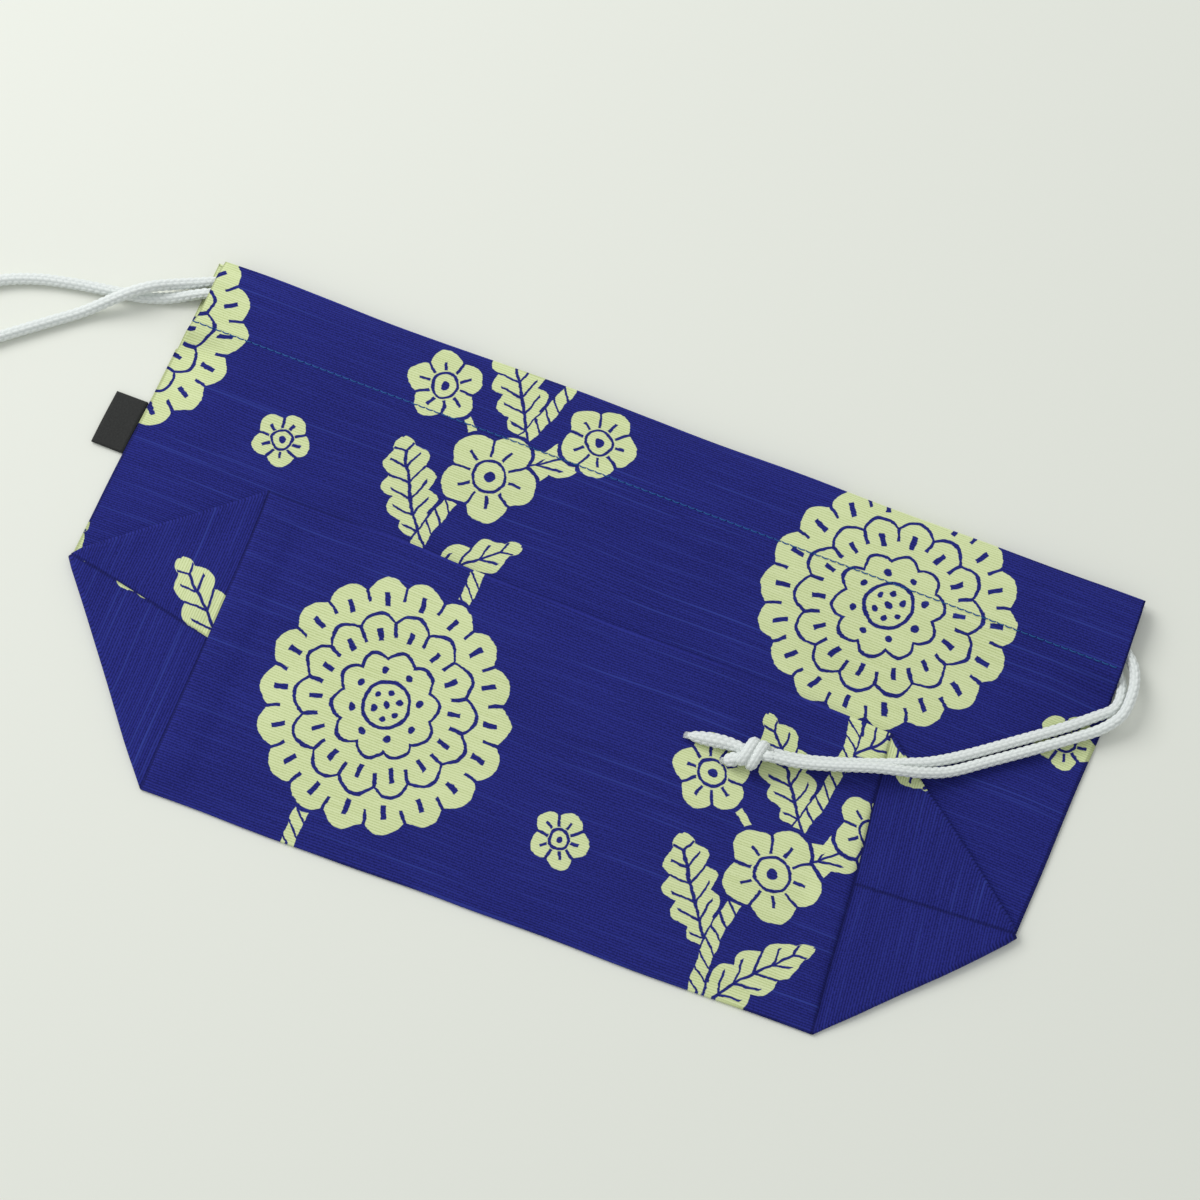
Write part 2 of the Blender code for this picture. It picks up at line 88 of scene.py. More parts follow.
world = bpy.data.worlds.new("studio")
bpy.context.scene.world = world
world.use_nodes = True
world.node_tree.nodes["Background"].inputs["Color"].default_value = (0.97, 1.0, 1.0, 1)
world.node_tree.nodes["Background"].inputs["Strength"].default_value = 0.60


def soft_box(name, place, aim, width, power):
    """A large square lamp that faces a point."""
    data = bpy.data.lights.new(name, "AREA")
    data.shape = "SQUARE"
    data.size = width
    data.energy = power
    lamp = placed(name, data)
    lamp.location = place
    lamp.rotation_euler = (Vector(aim) - Vector(place)).to_track_quat("-Z", "Y").to_euler()


soft_box("key_light", (-1.15, 0.45, 1.15), (0, 0, 0), 1.0, 16.5)

view_camera = bpy.data.cameras.new("view_camera")
view_camera.lens = 76.4
view_camera.sensor_width = 36
camera = placed("camera", view_camera)
camera.location = (0.0906, -0.2027, 0.7729)
aim = Vector((0.0019, 0.0215, 0))
camera.rotation_euler = (aim - camera.location).to_track_quat("-Z", "Y").to_euler()
bpy.context.scene.camera = camera
bpy.context.scene.view_settings.view_transform = "Standard"


# The draw cords: round white braid, 3.6 mm thick. Each runs through both casings, comes out at one
# side slit as two strands, and ends where both strands are tied in one stopper knot.
FLAT_HEIGHT = 166.5 * MM
CORD_DIAMETER = 3.6 * MM
YARNS_ROUND = 8
BRAID_PITCH = 2.3 * MM
BRAID_DEPTH = 0.36 * MM
BRAID_TILT = 0.34
RING_STEP = 0.36 * MM
RING_SIDES = 40

STRANDS = {
    "left_strand_back": [
        (-0.1485, 0.1608, 0.00255), (-0.1515, 0.1608, 0.00255), (-0.1560, 0.1596, 0.0026),
        (-0.1615, 0.1569, 0.0027), (-0.1680, 0.1531, 0.0041), (-0.1735, 0.1492, 0.0061),
        (-0.1790, 0.1449, 0.0063), (-0.1850, 0.1400, 0.0046), (-0.1925, 0.1337, 0.0023),
        (-0.2016, 0.1263, 0.00200), (-0.2140, 0.1160, 0.00200), (-0.2250, 0.1065, 0.00200),
        (-0.2360, 0.0960, 0.00200), (-0.2455, 0.0860, 0.00200), (-0.2517, 0.0793, 0.0028),
    ],
    "left_strand_front": [
        (-0.1485, 0.1553, 0.00405), (-0.1515, 0.1553, 0.00405), (-0.1560, 0.1546, 0.0037),
        (-0.1615, 0.1522, 0.0026), (-0.1683, 0.1487, 0.00200), (-0.1766, 0.1458, 0.00200),
        (-0.1858, 0.1443, 0.00200), (-0.1988, 0.1421, 0.00200), (-0.2112, 0.1391, 0.00200),
        (-0.2227, 0.1341, 0.00200), (-0.2340, 0.1255, 0.00200), (-0.2435, 0.1140, 0.00200),
        (-0.2505, 0.1010, 0.00200), (-0.2548, 0.0885, 0.0022), (-0.2562, 0.0812, 0.0032),
    ],
    "right_strand_back": [
        (0.1485, 0.1456, 0.00255), (0.1515, 0.1456, 0.00255), (0.1565, 0.1448, 0.00255),
        (0.1612, 0.1422, 0.00255), (0.1644, 0.1383, 0.0025), (0.1656, 0.1336, 0.0026),
        (0.1644, 0.1292, 0.0033), (0.1604, 0.1253, 0.0038), (0.1522, 0.1181, 0.0042),
        (0.1397, 0.1085, 0.0039), (0.1264, 0.0985, 0.0036), (0.1172, 0.0923, 0.0044),
        (0.1095, 0.0886, 0.0051), (0.1010, 0.0852, 0.0049), (0.0890, 0.0809, 0.0049),
        (0.0790, 0.0780, 0.0050), (0.0707, 0.0766, 0.0054),
    ],
    "right_strand_front": [
        (0.1485, 0.1511, 0.00405), (0.1515, 0.1511, 0.00405), (0.1570, 0.1506, 0.00405),
        (0.1622, 0.1484, 0.0041), (0.1660, 0.1446, 0.0043), (0.1679, 0.1394, 0.0052),
        (0.1683, 0.1336, 0.0058), (0.1674, 0.1277, 0.0056), (0.1634, 0.1222, 0.0042),
        (0.1574, 0.1171, 0.0038), (0.1454, 0.1079, 0.0036), (0.1337, 0.0992, 0.0034),
        (0.1239, 0.0918, 0.0042), (0.1158, 0.0876, 0.0062), (0.1085, 0.0852, 0.0078),
        (0.1010, 0.0830, 0.0084), (0.0890, 0.0788, 0.0085), (0.0795, 0.0760, 0.0085),
        (0.0711, 0.0746, 0.0088),
    ],
}
# The casing runs: the cord's side, then where the back run and the front run lie, as (y, z)
CASING_RUNS = {
    "left_cord_in_casing": (-1, (0.1608, 0.00255), (0.1553, 0.00405)),
    "right_cord_in_casing": (1, (0.1456, 0.00255), (0.1511, 0.00405)),
}
HEM_REACH = 0.148


def on_bag(x, y, z):
    """A point given from the bag's bottom fold, in the row frame."""
    return Vector((x, y - FLAT_HEIGHT / 2, z))


def smooth_line(points, spacing):
    """Points every so far along a smooth curve through the ones given."""
    points = [Vector(p) for p in points]
    dense = []
    for number in range(len(points) - 1):
        p0 = points[max(0, number - 1)]
        p1, p2 = points[number], points[number + 1]
        p3 = points[min(len(points) - 1, number + 2)]
        for t in np.linspace(0, 1, 24, endpoint=False):
            bend = (2 * p0 - 5 * p1 + 4 * p2 - p3) * t * t + (3 * p1 - p0 - 3 * p2 + p3) * t**3
            dense.append(0.5 * (2 * p1 + (p2 - p0) * t + bend))
    dense.append(points[-1])
    dense = np.array(dense)
    run = np.concatenate([[0], np.cumsum(np.linalg.norm(np.diff(dense, axis=0), axis=1))])
    wanted = np.linspace(0, run[-1], max(3, round(run[-1] / spacing) + 1))
    return np.stack([np.interp(wanted, run, dense[:, axis]) for axis in range(3)], axis=1)


def frames_along(line):
    """Two side directions for each point of a line, carried along it without twist."""
    ahead = np.gradient(line, axis=0)
    ahead /= np.linalg.norm(ahead, axis=1)[:, None]
    side = np.cross(ahead[0], (0, 0, 1.0))
    if np.linalg.norm(side) < 1e-3:
        side = np.cross(ahead[0], (0, 1.0, 0))
    sides = []
    for direction in ahead:
        side = side - direction * (side @ direction)
        side = side / np.linalg.norm(side)
        sides.append(side)
    sides = np.array(sides)
    return sides, np.cross(ahead, sides)


def braid_height(along, turn):
    """How proud the braid stands, 0 to 1: columns of slanting yarns that lean left and right in turn.
    Along counts the braid's stitches."""
    column = np.floor(turn * YARNS_ROUND)
    across = turn * YARNS_ROUND - column - 0.5
    odd = np.mod(column, 2)
    lean = BRAID_TILT * (1 - 2 * odd) * across
    swell = np.abs(np.sin(np.pi * (along + lean + 0.5 * odd)))
    return np.sqrt(np.maximum(0, 1 - (1.9 * across) ** 2)) * swell**0.55


def braided_cord(
    name, line, diameter, step=RING_STEP, ring=RING_SIDES, radii=None, pitch=BRAID_PITCH
):
    """A closed tube with the braid in its surface. Its UV map runs round the cord and along it."""
    line = smooth_line(line, step)
    run = np.concatenate([[0], np.cumsum(np.linalg.norm(np.diff(line, axis=0), axis=1))])
    one, two = frames_along(line)
    turn = np.arange(ring) / ring
    angle = 2 * np.pi * turn
    proud = braid_height(run[:, None] / pitch, turn[None, :])
    radius = diameter / 2 - BRAID_DEPTH * (1 - proud)
    if radii is not None:
        radius = radius * np.interp(run / run[-1], np.linspace(0, 1, len(radii)), radii)[:, None]
    circle = one[:, None, :] * np.cos(angle)[None, :, None]
    circle = circle + two[:, None, :] * np.sin(angle)[None, :, None]
    verts = (line[:, None, :] + circle * radius[:, :, None]).reshape(-1, 3)
    rings = len(line)
    faces, uvs = [], []
    for row in range(rings - 1):
        for k in range(ring):
            n = (k + 1) % ring
            low, high = row * ring, (row + 1) * ring
            faces.append((low + k, low + n, high + n, high + k))
            left, right, start, end = k / ring, (k + 1) / ring, run[row], run[row + 1]
            uvs += [(left, start), (right, start), (right, end), (left, end)]
    count = len(verts)
    verts = np.concatenate([verts, line[:1], line[-1:]])
    for k in range(ring):
        n = (k + 1) % ring
        faces.append((count, n, k))
        faces.append((count + 1, (rings - 1) * ring + k, (rings - 1) * ring + n))
        uvs += [(k / ring, 0)] * 3 + [(k / ring, run[-1])] * 3
    mesh = bpy.data.meshes.new(name)
    mesh.from_pydata(verts.tolist(), [], faces)
    layer = mesh.uv_layers.new(name="surface")
    layer.data.foreach_set("uv", np.array(uvs, np.float32).ravel())
    # The braid's height is kept on the mesh for the painted shade in its grooves
    height = mesh.attributes.new("braid", "FLOAT", "POINT")
    height.data.foreach_set("value", np.append(proud.ravel(), (0.5, 0.5)).astype(np.float32))
    mesh.shade_smooth()
    return placed(name, mesh)


def math_node(operation):
    """A Field's method that adds one math node."""
    return lambda field, other: field.do(operation, other)


class Field:
    """One value of a material's node tree, so that a pattern can be written as sums."""

    def __init__(self, tree, socket):
        self.tree = tree
        self.socket = socket

    def do(self, operation, *others):
        node = self.tree.nodes.new("ShaderNodeMath")
        node.operation = operation
        for slot, value in zip(node.inputs, (self, *others)):
            if isinstance(value, Field):
                self.tree.links.new(value.socket, slot)
            else:
                slot.default_value = value
        return Field(self.tree, node.outputs[0])

    __add__ = __radd__ = math_node("ADD")
    __sub__ = math_node("SUBTRACT")
    __mul__ = __rmul__ = math_node("MULTIPLY")
    __truediv__ = math_node("DIVIDE")
    __pow__ = math_node("POWER")
    at_most = math_node("MINIMUM")
    at_least = math_node("MAXIMUM")

    def __rsub__(self, other):
        return self.do("MULTIPLY", -1) + other

    def size(self):
        return self.do("ABSOLUTE")

    def rounded(self, low, high):
        """0 below low, 1 above high, and a smooth step between."""
        node = self.tree.nodes.new("ShaderNodeMapRange")
        node.interpolation_type = "SMOOTHSTEP"
        self.tree.links.new(self.socket, node.inputs["Value"])
        node.inputs["From Min"].default_value = low
        node.inputs["From Max"].default_value = high
        return Field(self.tree, node.outputs["Result"])


def new_material(name, roughness, specular):
    material = bpy.data.materials.new(name)
    material.use_nodes = True
    shader = material.node_tree.nodes["Principled BSDF"]
    shader.inputs["Roughness"].default_value = roughness
    shader.inputs["Specular IOR Level"].default_value = specular
    return material, material.node_tree, shader


def uv_fields(tree, scale):
    """The piece's UV map as two fields, times a scale."""
    source = tree.nodes.new("ShaderNodeUVMap")
    source.uv_map = "surface"
    split = tree.nodes.new("ShaderNodeSeparateXYZ")
    tree.links.new(source.outputs[0], split.inputs[0])
    return Field(tree, split.outputs[0]) * scale, Field(tree, split.outputs[1]) * scale


def vector_of(tree, x, y, z=0.0):
    node = tree.nodes.new("ShaderNodeCombineXYZ")
    for slot, value in zip(node.inputs, (x, y, z)):
        if isinstance(value, Field):
            tree.links.new(value.socket, slot)
        else:
            slot.default_value = value
    return node.outputs[0]


def noise_field(tree, vector, scale, detail=2.0, roughness=0.5):
    node = tree.nodes.new("ShaderNodeTexNoise")
    node.inputs["Scale"].default_value = scale
    node.inputs["Detail"].default_value = detail
    node.inputs["Roughness"].default_value = roughness
    tree.links.new(vector, node.inputs["Vector"])
    return Field(tree, node.outputs["Fac"])


def blend_colours(tree, share, first, second):
    """Mixes two colours, each a colour or a socket, by a field."""
    node = tree.nodes.new("ShaderNodeMix")
    node.data_type = "RGBA"
    tree.links.new(share.socket, node.inputs["Factor"])
    for slot, value in ((6, first), (7, second)):
        if isinstance(value, tuple):
            node.inputs[slot].default_value = (*value, 1)
        else:
            tree.links.new(value, node.inputs[slot])
    return node.outputs[2]


def bumped(tree, shader, height, distance, strength=1.0):
    node = tree.nodes.new("ShaderNodeBump")
    node.inputs["Distance"].default_value = distance
    node.inputs["Strength"].default_value = strength
    tree.links.new(height.socket, node.inputs["Height"])
    tree.links.new(node.outputs["Normal"], shader.inputs["Normal"])


# The cord's colour: painted shade darkens it in the braid's grooves, following the braid attribute, and
# fibre and mottle noise vary its tone
CORD_WHITE = (0.790, 0.825, 0.805)
CORD_SHADE = (0.600, 0.640, 0.622)
cord_cotton, tree, shader = new_material("braided_cotton", 0.9, 0.2)
round_it, along_it = uv_fields(tree, 1.0)
fibre = noise_field(tree, vector_of(tree, round_it * 9.0, along_it * 900.0), 3.0, 3.0)
mottle = noise_field(tree, vector_of(tree, round_it * 2.0, along_it * 120.0), 1.0, 2.0)
relief = tree.nodes.new("ShaderNodeAttribute")
relief.attribute_name = "braid"
relief = Field(tree, relief.outputs["Fac"])
# The braid's height gives the painted groove shade; the fibre and mottle noise give the real tone
groove_shade_and_fibre_tone = (relief * 0.75 + fibre * 0.35 + mottle * 0.15).rounded(0.05, 0.85)
tree.links.new(
    blend_colours(tree, groove_shade_and_fibre_tone, CORD_SHADE, CORD_WHITE), shader.inputs["Base Color"]
)
shader.inputs["Sheen Weight"].default_value = 0.25
shader.inputs["Sheen Roughness"].default_value = 0.6
bumped(tree, shader, fibre, 0.0002, 0.5)

# The left cord's free strands are looser: whole in the casing, a little thicker beyond it
LEFT_SWELL = (1, 1) + (1.09,) * 12


def dress_cord(piece, node):
    piece.data.materials.append(cord_cotton)
    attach(piece, "root")
    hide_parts(node)


strands = {}
for name, route in STRANDS.items():
    path = [on_bag(*p) for p in route]
    swell = LEFT_SWELL if name.startswith("left") else None
    strands[name] = braided_cord(name + "_braid", path, CORD_DIAMETER, radii=swell)
    dress_cord(strands[name], name)

TURN_STEPS = 8
for name, (sign, back, front) in CASING_RUNS.items():
    start_x = sign * HEM_REACH
    middle, radius = (back[0] + front[0]) / 2, (back[0] - front[0]) / 2
    points = [on_bag(start_x, *back)]
    for x in np.linspace(start_x, -start_x, 8)[1:-1]:
        points.append(on_bag(x, *back))
    for step in range(TURN_STEPS + 1):
        angle = math.pi * step / TURN_STEPS
        share = step / TURN_STEPS
        rise = share * share * (3 - 2 * share)
        points.append(
            on_bag(
                -start_x - sign * abs(radius) * math.sin(angle),
                middle + radius * math.cos(angle),
                back[1] + (front[1] - back[1]) * rise,
            )
        )
    for x in np.linspace(-start_x, start_x, 8)[1:]:
        points.append(on_bag(x, *front))
    run = braided_cord(name + "_braid", points, CORD_DIAMETER, step=1.2 * MM, ring=24)
    dress_cord(run, name)


# The stopper knots: both strands of a cord tied together in one overhand knot, drawn tight, with
# two cut tails beyond it whose ends fray. Each is given as its middle, its turn and its tails.
KNOTS = {
    "left_knot": (
        (-0.2564, 0.0745, 0.0042),
        math.radians(63),
        [
            [(-0.2578, 0.0715, 0.0035), (-0.2608, 0.0655, 0.0026), (-0.2648, 0.0590, 0.0025)],
            [(-0.2550, 0.0715, 0.0035), (-0.2545, 0.0665, 0.0026), (-0.2550, 0.0625, 0.0025)],
        ],
    ),
    "right_knot": (
        (0.0646, 0.0738, 0.0071),
        math.radians(10),
        [
            [(0.0620, 0.0743, 0.0062), (0.0560, 0.0744, 0.0054), (0.0440, 0.0724, 0.0051)],
            [(0.0620, 0.0715, 0.0062), (0.0592, 0.0699, 0.0054), (0.0572, 0.0690, 0.0051)],
        ],
    ),
}
WRAP_RADIUS = (3.75 * MM, 2.3 * MM)
WRAP_REACH = (3.1 * MM, -3.0 * MM)
WRAP_TURNS = 1.9
WRAP_LEAN = 0.22
WRAP_THICKNESS = 4.0 * MM
WRAP_PITCH = 0.62 * BRAID_PITCH
WRAP_STEPS = 60
NECK_LENGTH = 1.5 * MM
FRAY_COUNT = 170
FRAY_LENGTH = (1.2 * MM, 2.5 * MM)
FRAY_THICKNESS = 0.13 * MM
FRAY_ROOT = 1.1 * MM
FRAY_DROOP = 0.5 * MM
FRAY_FLOOR = 0.3 * MM
FRAY_SEED = 11


def frayed_end(name, tip, ahead, seed):
    """The loose fibres in which a cut cord ends: thin tapering threads that spread a little."""
    chance = random.Random(seed)
    ahead = Vector(ahead).normalized()
    side = ahead.orthogonal().normalized()
    other = ahead.cross(side)
    mesh = bmesh.new()
    uv = mesh.loops.layers.uv.new("surface")
    relief = mesh.verts.layers.float.new("braid")
    for _ in range(FRAY_COUNT):
        angle = chance.uniform(0, 2 * math.pi)
        out = math.sqrt(chance.random()) * CORD_DIAMETER * 0.30
        radial = side * math.cos(angle) + other * math.sin(angle)
        start = Vector(tip) + radial * out - ahead * FRAY_ROOT
        length = chance.uniform(*FRAY_LENGTH)
        spread = radial * chance.uniform(-0.55, 0.12) + side * chance.uniform(-0.12, 0.12)
        rings = []
        for n in range(5):
            t = n / 4
            centre = start + ahead * length * t + spread * length * t * t
            centre.z = max(centre.z - FRAY_DROOP * t * t, FRAY_FLOOR)
            width = FRAY_THICKNESS * (1.0 - 0.85 * t)
            ring = []
            for k in range(3):
                turn = 2 * math.pi * k / 3
                round_it = side * math.cos(turn) + other * math.sin(turn)
                ring.append(mesh.verts.new(centre + round_it * width))
            rings.append(ring)
        for low_ring, high_ring in zip(rings, rings[1:]):
            for k in range(3):
                n = (k + 1) % 3
                mesh.faces.new((low_ring[k], low_ring[n], high_ring[n], high_ring[k]))
        mesh.faces.new(reversed(rings[0]))
        mesh.faces.new(rings[-1])
    bmesh.ops.recalc_face_normals(mesh, faces=mesh.faces)
    # The fibres take a high braid value, so that the cord's painted groove shade leaves them light
    for vert in mesh.verts:
        vert[relief] = 0.8
    for face in mesh.faces:
        for loop in face.loops:
            loop[uv].uv = (0.3, 0.3)
    data = bpy.data.meshes.new(name)
    mesh.to_mesh(data)
    mesh.free()
    return placed(name, data)


# The tail's thickness along it, as a share: whole to near its end, where the cut braid closes up
TAIL_SHAPE = (1, 1.08, 1.16, 1.24, 1.3, 1.3, 1.26, 1.16, 0.96, 0.5)


def joined(objects, name):
    """Several pieces as one mesh object."""
    merged = bmesh.new()
    for piece in objects:
        merged.from_mesh(piece.data)
    mesh = bpy.data.meshes.new(name)
    merged.to_mesh(mesh)
    merged.free()
    mesh.shade_smooth()
    for piece in objects:
        bpy.data.objects.remove(piece)
    return placed(name, mesh)


knots = {}
for name, (place, turn, tails) in KNOTS.items():
    spin = Matrix.Rotation(turn, 3, "Z")
    loop = []
    for share in np.linspace(0, 1, WRAP_STEPS):
        angle = 2 * math.pi * WRAP_TURNS * share - 0.6
        tucked = 0.4 + 0.6 * math.sin(math.pi * share) ** 0.35
        wide = WRAP_RADIUS[0] * math.cos(angle) * tucked * (1.05 - 0.25 * share)
        high = WRAP_RADIUS[1] * math.sin(angle) * tucked
        forward = WRAP_REACH[0] + (WRAP_REACH[1] - WRAP_REACH[0]) * share + WRAP_LEAN * wide
        loop.append(on_bag(*place) + spin @ Vector((forward, wide, high)))
    parts = [braided_cord(name + "_loop", loop, WRAP_THICKNESS, pitch=WRAP_PITCH)]
    heart = on_bag(*place)
    for way in ("back", "front"):
        route = STRANDS[f"{name.split('_')[0]}_strand_{way}"]
        before, end = on_bag(*route[-2]), on_bag(*route[-1])
        beyond = end + (end - before).normalized() * NECK_LENGTH
        neck = [end, beyond, end.lerp(heart, 0.6), end.lerp(heart, 0.9)]
        parts.append(braided_cord(f"{name}_neck_{way}", neck, CORD_DIAMETER))
    for number, tail in enumerate(tails):
        points = [on_bag(*p) for p in tail]
        parts.append(braided_cord(f"{name}_tail_{number}", points, CORD_DIAMETER, radii=TAIL_SHAPE))
        tip, ahead = points[-1], points[-1] - points[-2]
        parts.append(frayed_end(f"{name}_fray_{number}", tip, ahead, FRAY_SEED + number))
    knots[name] = joined(parts, name + "_tied")
    dress_cord(knots[name], name)

for side in ("left", "right"):
    for way in ("back", "front"):
        name = f"{side}_strand_{way}"
        path = smooth_line([on_bag(*p) for p in STRANDS[name]], 2 * MM)


# The bag's cloth: one piece of ribbed cotton, folded at the bottom, sewn up its sides and boxed at
# its lower corners. It lies as a paper bag folds: the back, the front, the front's foot turned up,
# and the base on top.
BAG_WIDTH = 320 * MM
HALF_WIDTH = BAG_WIDTH / 2
FOLD_DEPTH = 50 * MM
BASE_HALF = HALF_WIDTH - FOLD_DEPTH
CASING_HEIGHT = 24.5 * MM
SLIT_HEIGHT = 34 * MM
TENT_LENGTH = 36 * MM
PINCH_WIDTH = 25 * MM
PINCH_RISE = 8.5 * MM
TOP_FOLD_RISE = 3.5 * MM
CLOTH_THICKNESS = 0.45 * MM
LAYER_PITCH = 0.75 * MM
CORD_CLEARANCE = 0.3 * MM
STITCH_Y = FLAT_HEIGHT - CASING_HEIGHT
SLIT_Y = FLAT_HEIGHT - SLIT_HEIGHT
TENT_Y = STITCH_Y - TENT_LENGTH
HUG = CORD_DIAMETER / 2 + CORD_CLEARANCE + CLOTH_THICKNESS / 2
# The cords in the casing, as (y, z), from the mouth down: the left cord's runs, then the right's
RODS = [(0.1608, 0.00255), (0.1553, 0.00405), (0.1511, 0.00405), (0.1456, 0.00255)]
GRID = 2.5 * MM
FOLD_ROWS = round(FOLD_DEPTH / GRID)
COLUMNS = 112
# The columns stand closer at both ends, where the seams are: numbers, then places in even columns
COLUMN_PLACES = ((0, 1, 2, 4, 108, 110, 111, 112), (0, 0.35, 1.1, 4, 108, 110.9, 111.65, 112))
OUTLINE_WANDER = 0.9 * MM
CORD_CALM = (4 * MM, 12 * MM)

# The outline's corners, left and right, as the cloth was folded by hand
TOP = (Vector((-0.1583, 0.1661)), Vector((0.1628, 0.1660)))
SLIT = (Vector((-0.1582, 0.1335)), Vector((0.1632, 0.1320)))
SIDE = (Vector((-0.1599, 0.0562)), Vector((0.1590, 0.0516)))
BASE_LOW = (Vector((-0.1078, -0.0045)), Vector((0.1122, 0.0005)))
BASE_HIGH = (Vector((-0.1092, 0.0982)), Vector((0.1030, 0.0960)))
FRONT_INSET = 3.0 * MM
# Without a seed noise_vector starts from the clock, and the outline differs from run to run
OUTLINE_SEED = 3
noise.seed_set(OUTLINE_SEED)


def layer_height(number):
    return CLOTH_THICKNESS / 2 + number * LAYER_PITCH


def ease(t):
    t = min(1.0, max(0.0, t))
    return t * t * (3 - 2 * t)


def outline_ends(y):
    """The left and right edges of the back at a height on the bag."""
    if y < FOLD_DEPTH:
        return [BASE_LOW[s].lerp(SIDE[s], y / FOLD_DEPTH) for s in (0, 1)]
    if y < SLIT_Y:
        return [SIDE[s].lerp(SLIT[s], (y - FOLD_DEPTH) / (SLIT_Y - FOLD_DEPTH)) for s in (0, 1)]
    return [SLIT[s].lerp(TOP[s], (y - SLIT_Y) / SLIT_HEIGHT) for s in (0, 1)]


cord_lines = np.concatenate(
    [smooth_line([on_bag(*p) for p in route], 3 * MM)[:, :2] for route in STRANDS.values()]
)


def swell(x, y, seed):
    """How far the cloth lifts by its own spring, 0 to 1, and not at all next to a cord."""
    near = float(np.min(np.hypot(cord_lines[:, 0] - x, cord_lines[:, 1] - (y - FLAT_HEIGHT / 2))))
    calm = ease((near - CORD_CALM[0]) / CORD_CALM[1])
    broad = noise.noise(Vector((x * 17, y * 17, seed))) * 0.5 + 0.5
    small = noise.noise(Vector((x * 60, y * 60, seed + 3))) * 0.5 + 0.5
    return calm * (0.7 * broad + 0.3 * small)


class Sheet:
    """The cloth as it is put together: each point keeps where on the uncut cloth it comes from."""

    def __init__(self):
        self.last = None
        self.mesh = bmesh.new()
        self.uv = self.mesh.loops.layers.uv.new("surface")

    def point(self, x, y, z):
        """A corner of the cloth. Its outline wanders a little, save beside the casing's cords."""
        free = ease((STITCH_Y - y) / (25 * MM)) + ease((y - FLAT_HEIGHT + 2 * MM) / (2 * MM))
        wander = noise.noise_vector(Vector((x * 26, y * 26, 9.0))) * free * OUTLINE_WANDER
        return self.mesh.verts.new((x + wander.x, y - FLAT_HEIGHT / 2 + wander.y, z))

    def face(self, corners):
        """corners are (point, place on the cloth)."""
        if len({c[0] for c in corners}) < 3:
            return
        face = self.mesh.faces.new([c[0] for c in corners])
        for loop, corner in zip(face.loops, corners):
            loop[self.uv].uv = corner[1]

    def join_rows(self, low, high):
        for n in range(len(low) - 1):
            self.face([low[n], low[n + 1], high[n + 1], high[n]])

    def add_row(self, *place):
        """One more row of the cloth, joined to the row added before it."""
        row = self.row(*place)
        if self.last:
            self.join_rows(self.last, row)
        self.last = row
        return row

    def finish(self, name):
        bmesh.ops.recalc_face_normals(self.mesh, faces=self.mesh.faces)
        mesh = bpy.data.meshes.new(name)
        self.mesh.to_mesh(mesh)
        self.mesh.free()
        mesh.shade_smooth()
        return mesh

    def row(self, ends, half, y_cloth, height):
        """A row of points across the bag between its two ends, closer together at the seams."""
        made = []
        for n in range(COLUMNS + 1):
            share = float(np.interp(n, *COLUMN_PLACES)) / COLUMNS
            place = ends[0].lerp(ends[1], share)
            x_cloth = (2 * share - 1) * half
            inwards = min(share, 1 - share) * (ends[1] - ends[0]).length
            z = height(place.x, place.y, inwards) if callable(height) else height
            made.append((self.point(place.x, place.y, z), (x_cloth, y_cloth)))
        return made


def belt(stops):
    """Cloth drawn tight round a row of rods, as (y, z). A stop is (y, z, radius), with the radius
    above 0 where the cloth passes over it and below 0 where it passes under."""
    normals = []
    for (ay, az, ar), (by, bz, br) in zip(stops, stops[1:]):
        between = Vector((by - ay, bz - az))
        onward = between.normalized()
        up = Vector((-onward.y, onward.x))
        if up.y < 0:
            up = -up
        lean = (ar - br) / between.length
        normals.append(onward * lean + up * math.sqrt(max(0, 1 - lean * lean)))
    points = []
    for number, (y, z, radius) in enumerate(stops):
        first = normals[max(0, number - 1)]
        last = normals[min(number, len(normals) - 1)]
        turn = math.atan2(first.x * last.y - first.y * last.x, first.dot(last))
        steps = max(1, math.ceil(abs(turn) / math.radians(20))) if radius else 1
        for step in range(steps + 1 if radius and abs(turn) > 1e-6 else 1):
            turned = Matrix.Rotation(turn * step / steps, 2) @ first
            points.append((y + turned.x * radius, z + turned.y * radius))
    return points


def fold_arc(low, high, out, steps=6):
    """The points of a rounded fold between two that lie over each other, without these two."""
    middle = (low + high) / 2
    radius = abs(high.z - low.z) / 2
    way = 1 if high.z > low.z else -1
    arc = []
    for step in range(1, steps):
        angle = math.pi * (step / steps - 0.5)
        level = low.lerp(high, step / steps)
        arc.append(
            Vector((level.x, level.y, middle.z + way * radius * math.sin(angle)))
            + Vector((out.x, out.y, 0)) * radius * math.cos(angle)
        )
    return arc


def fold_strip(sheet, low, high, outs):
    """Joins two rows of points by a rounded fold. outs gives each point's way out."""
    columns = []
    for (a, place_a), (b, place_b), out in zip(low, high, outs):
        arc = fold_arc(a.co, b.co, out)
        column = [(a, place_a)]
        for n, spot in enumerate(arc):
            share = (n + 1) / (len(arc) + 1)
            mixed = tuple(p + (q - p) * share for p, q in zip(place_a, place_b))
            if abs(place_a[1] - place_b[1]) > 2 * FOLD_DEPTH - MM:
                mixed = place_a if share < 0.35 else place_b
            column.append((sheet.mesh.verts.new(spot), mixed))
        columns.append(column + [(b, place_b)])
    for first, second in zip(columns, columns[1:]):
        sheet.join_rows(first, second)
    return columns


def steps_between(low, high, step):
    return list(np.linspace(low, high, max(2, round(abs(high - low) / step)) + 1))


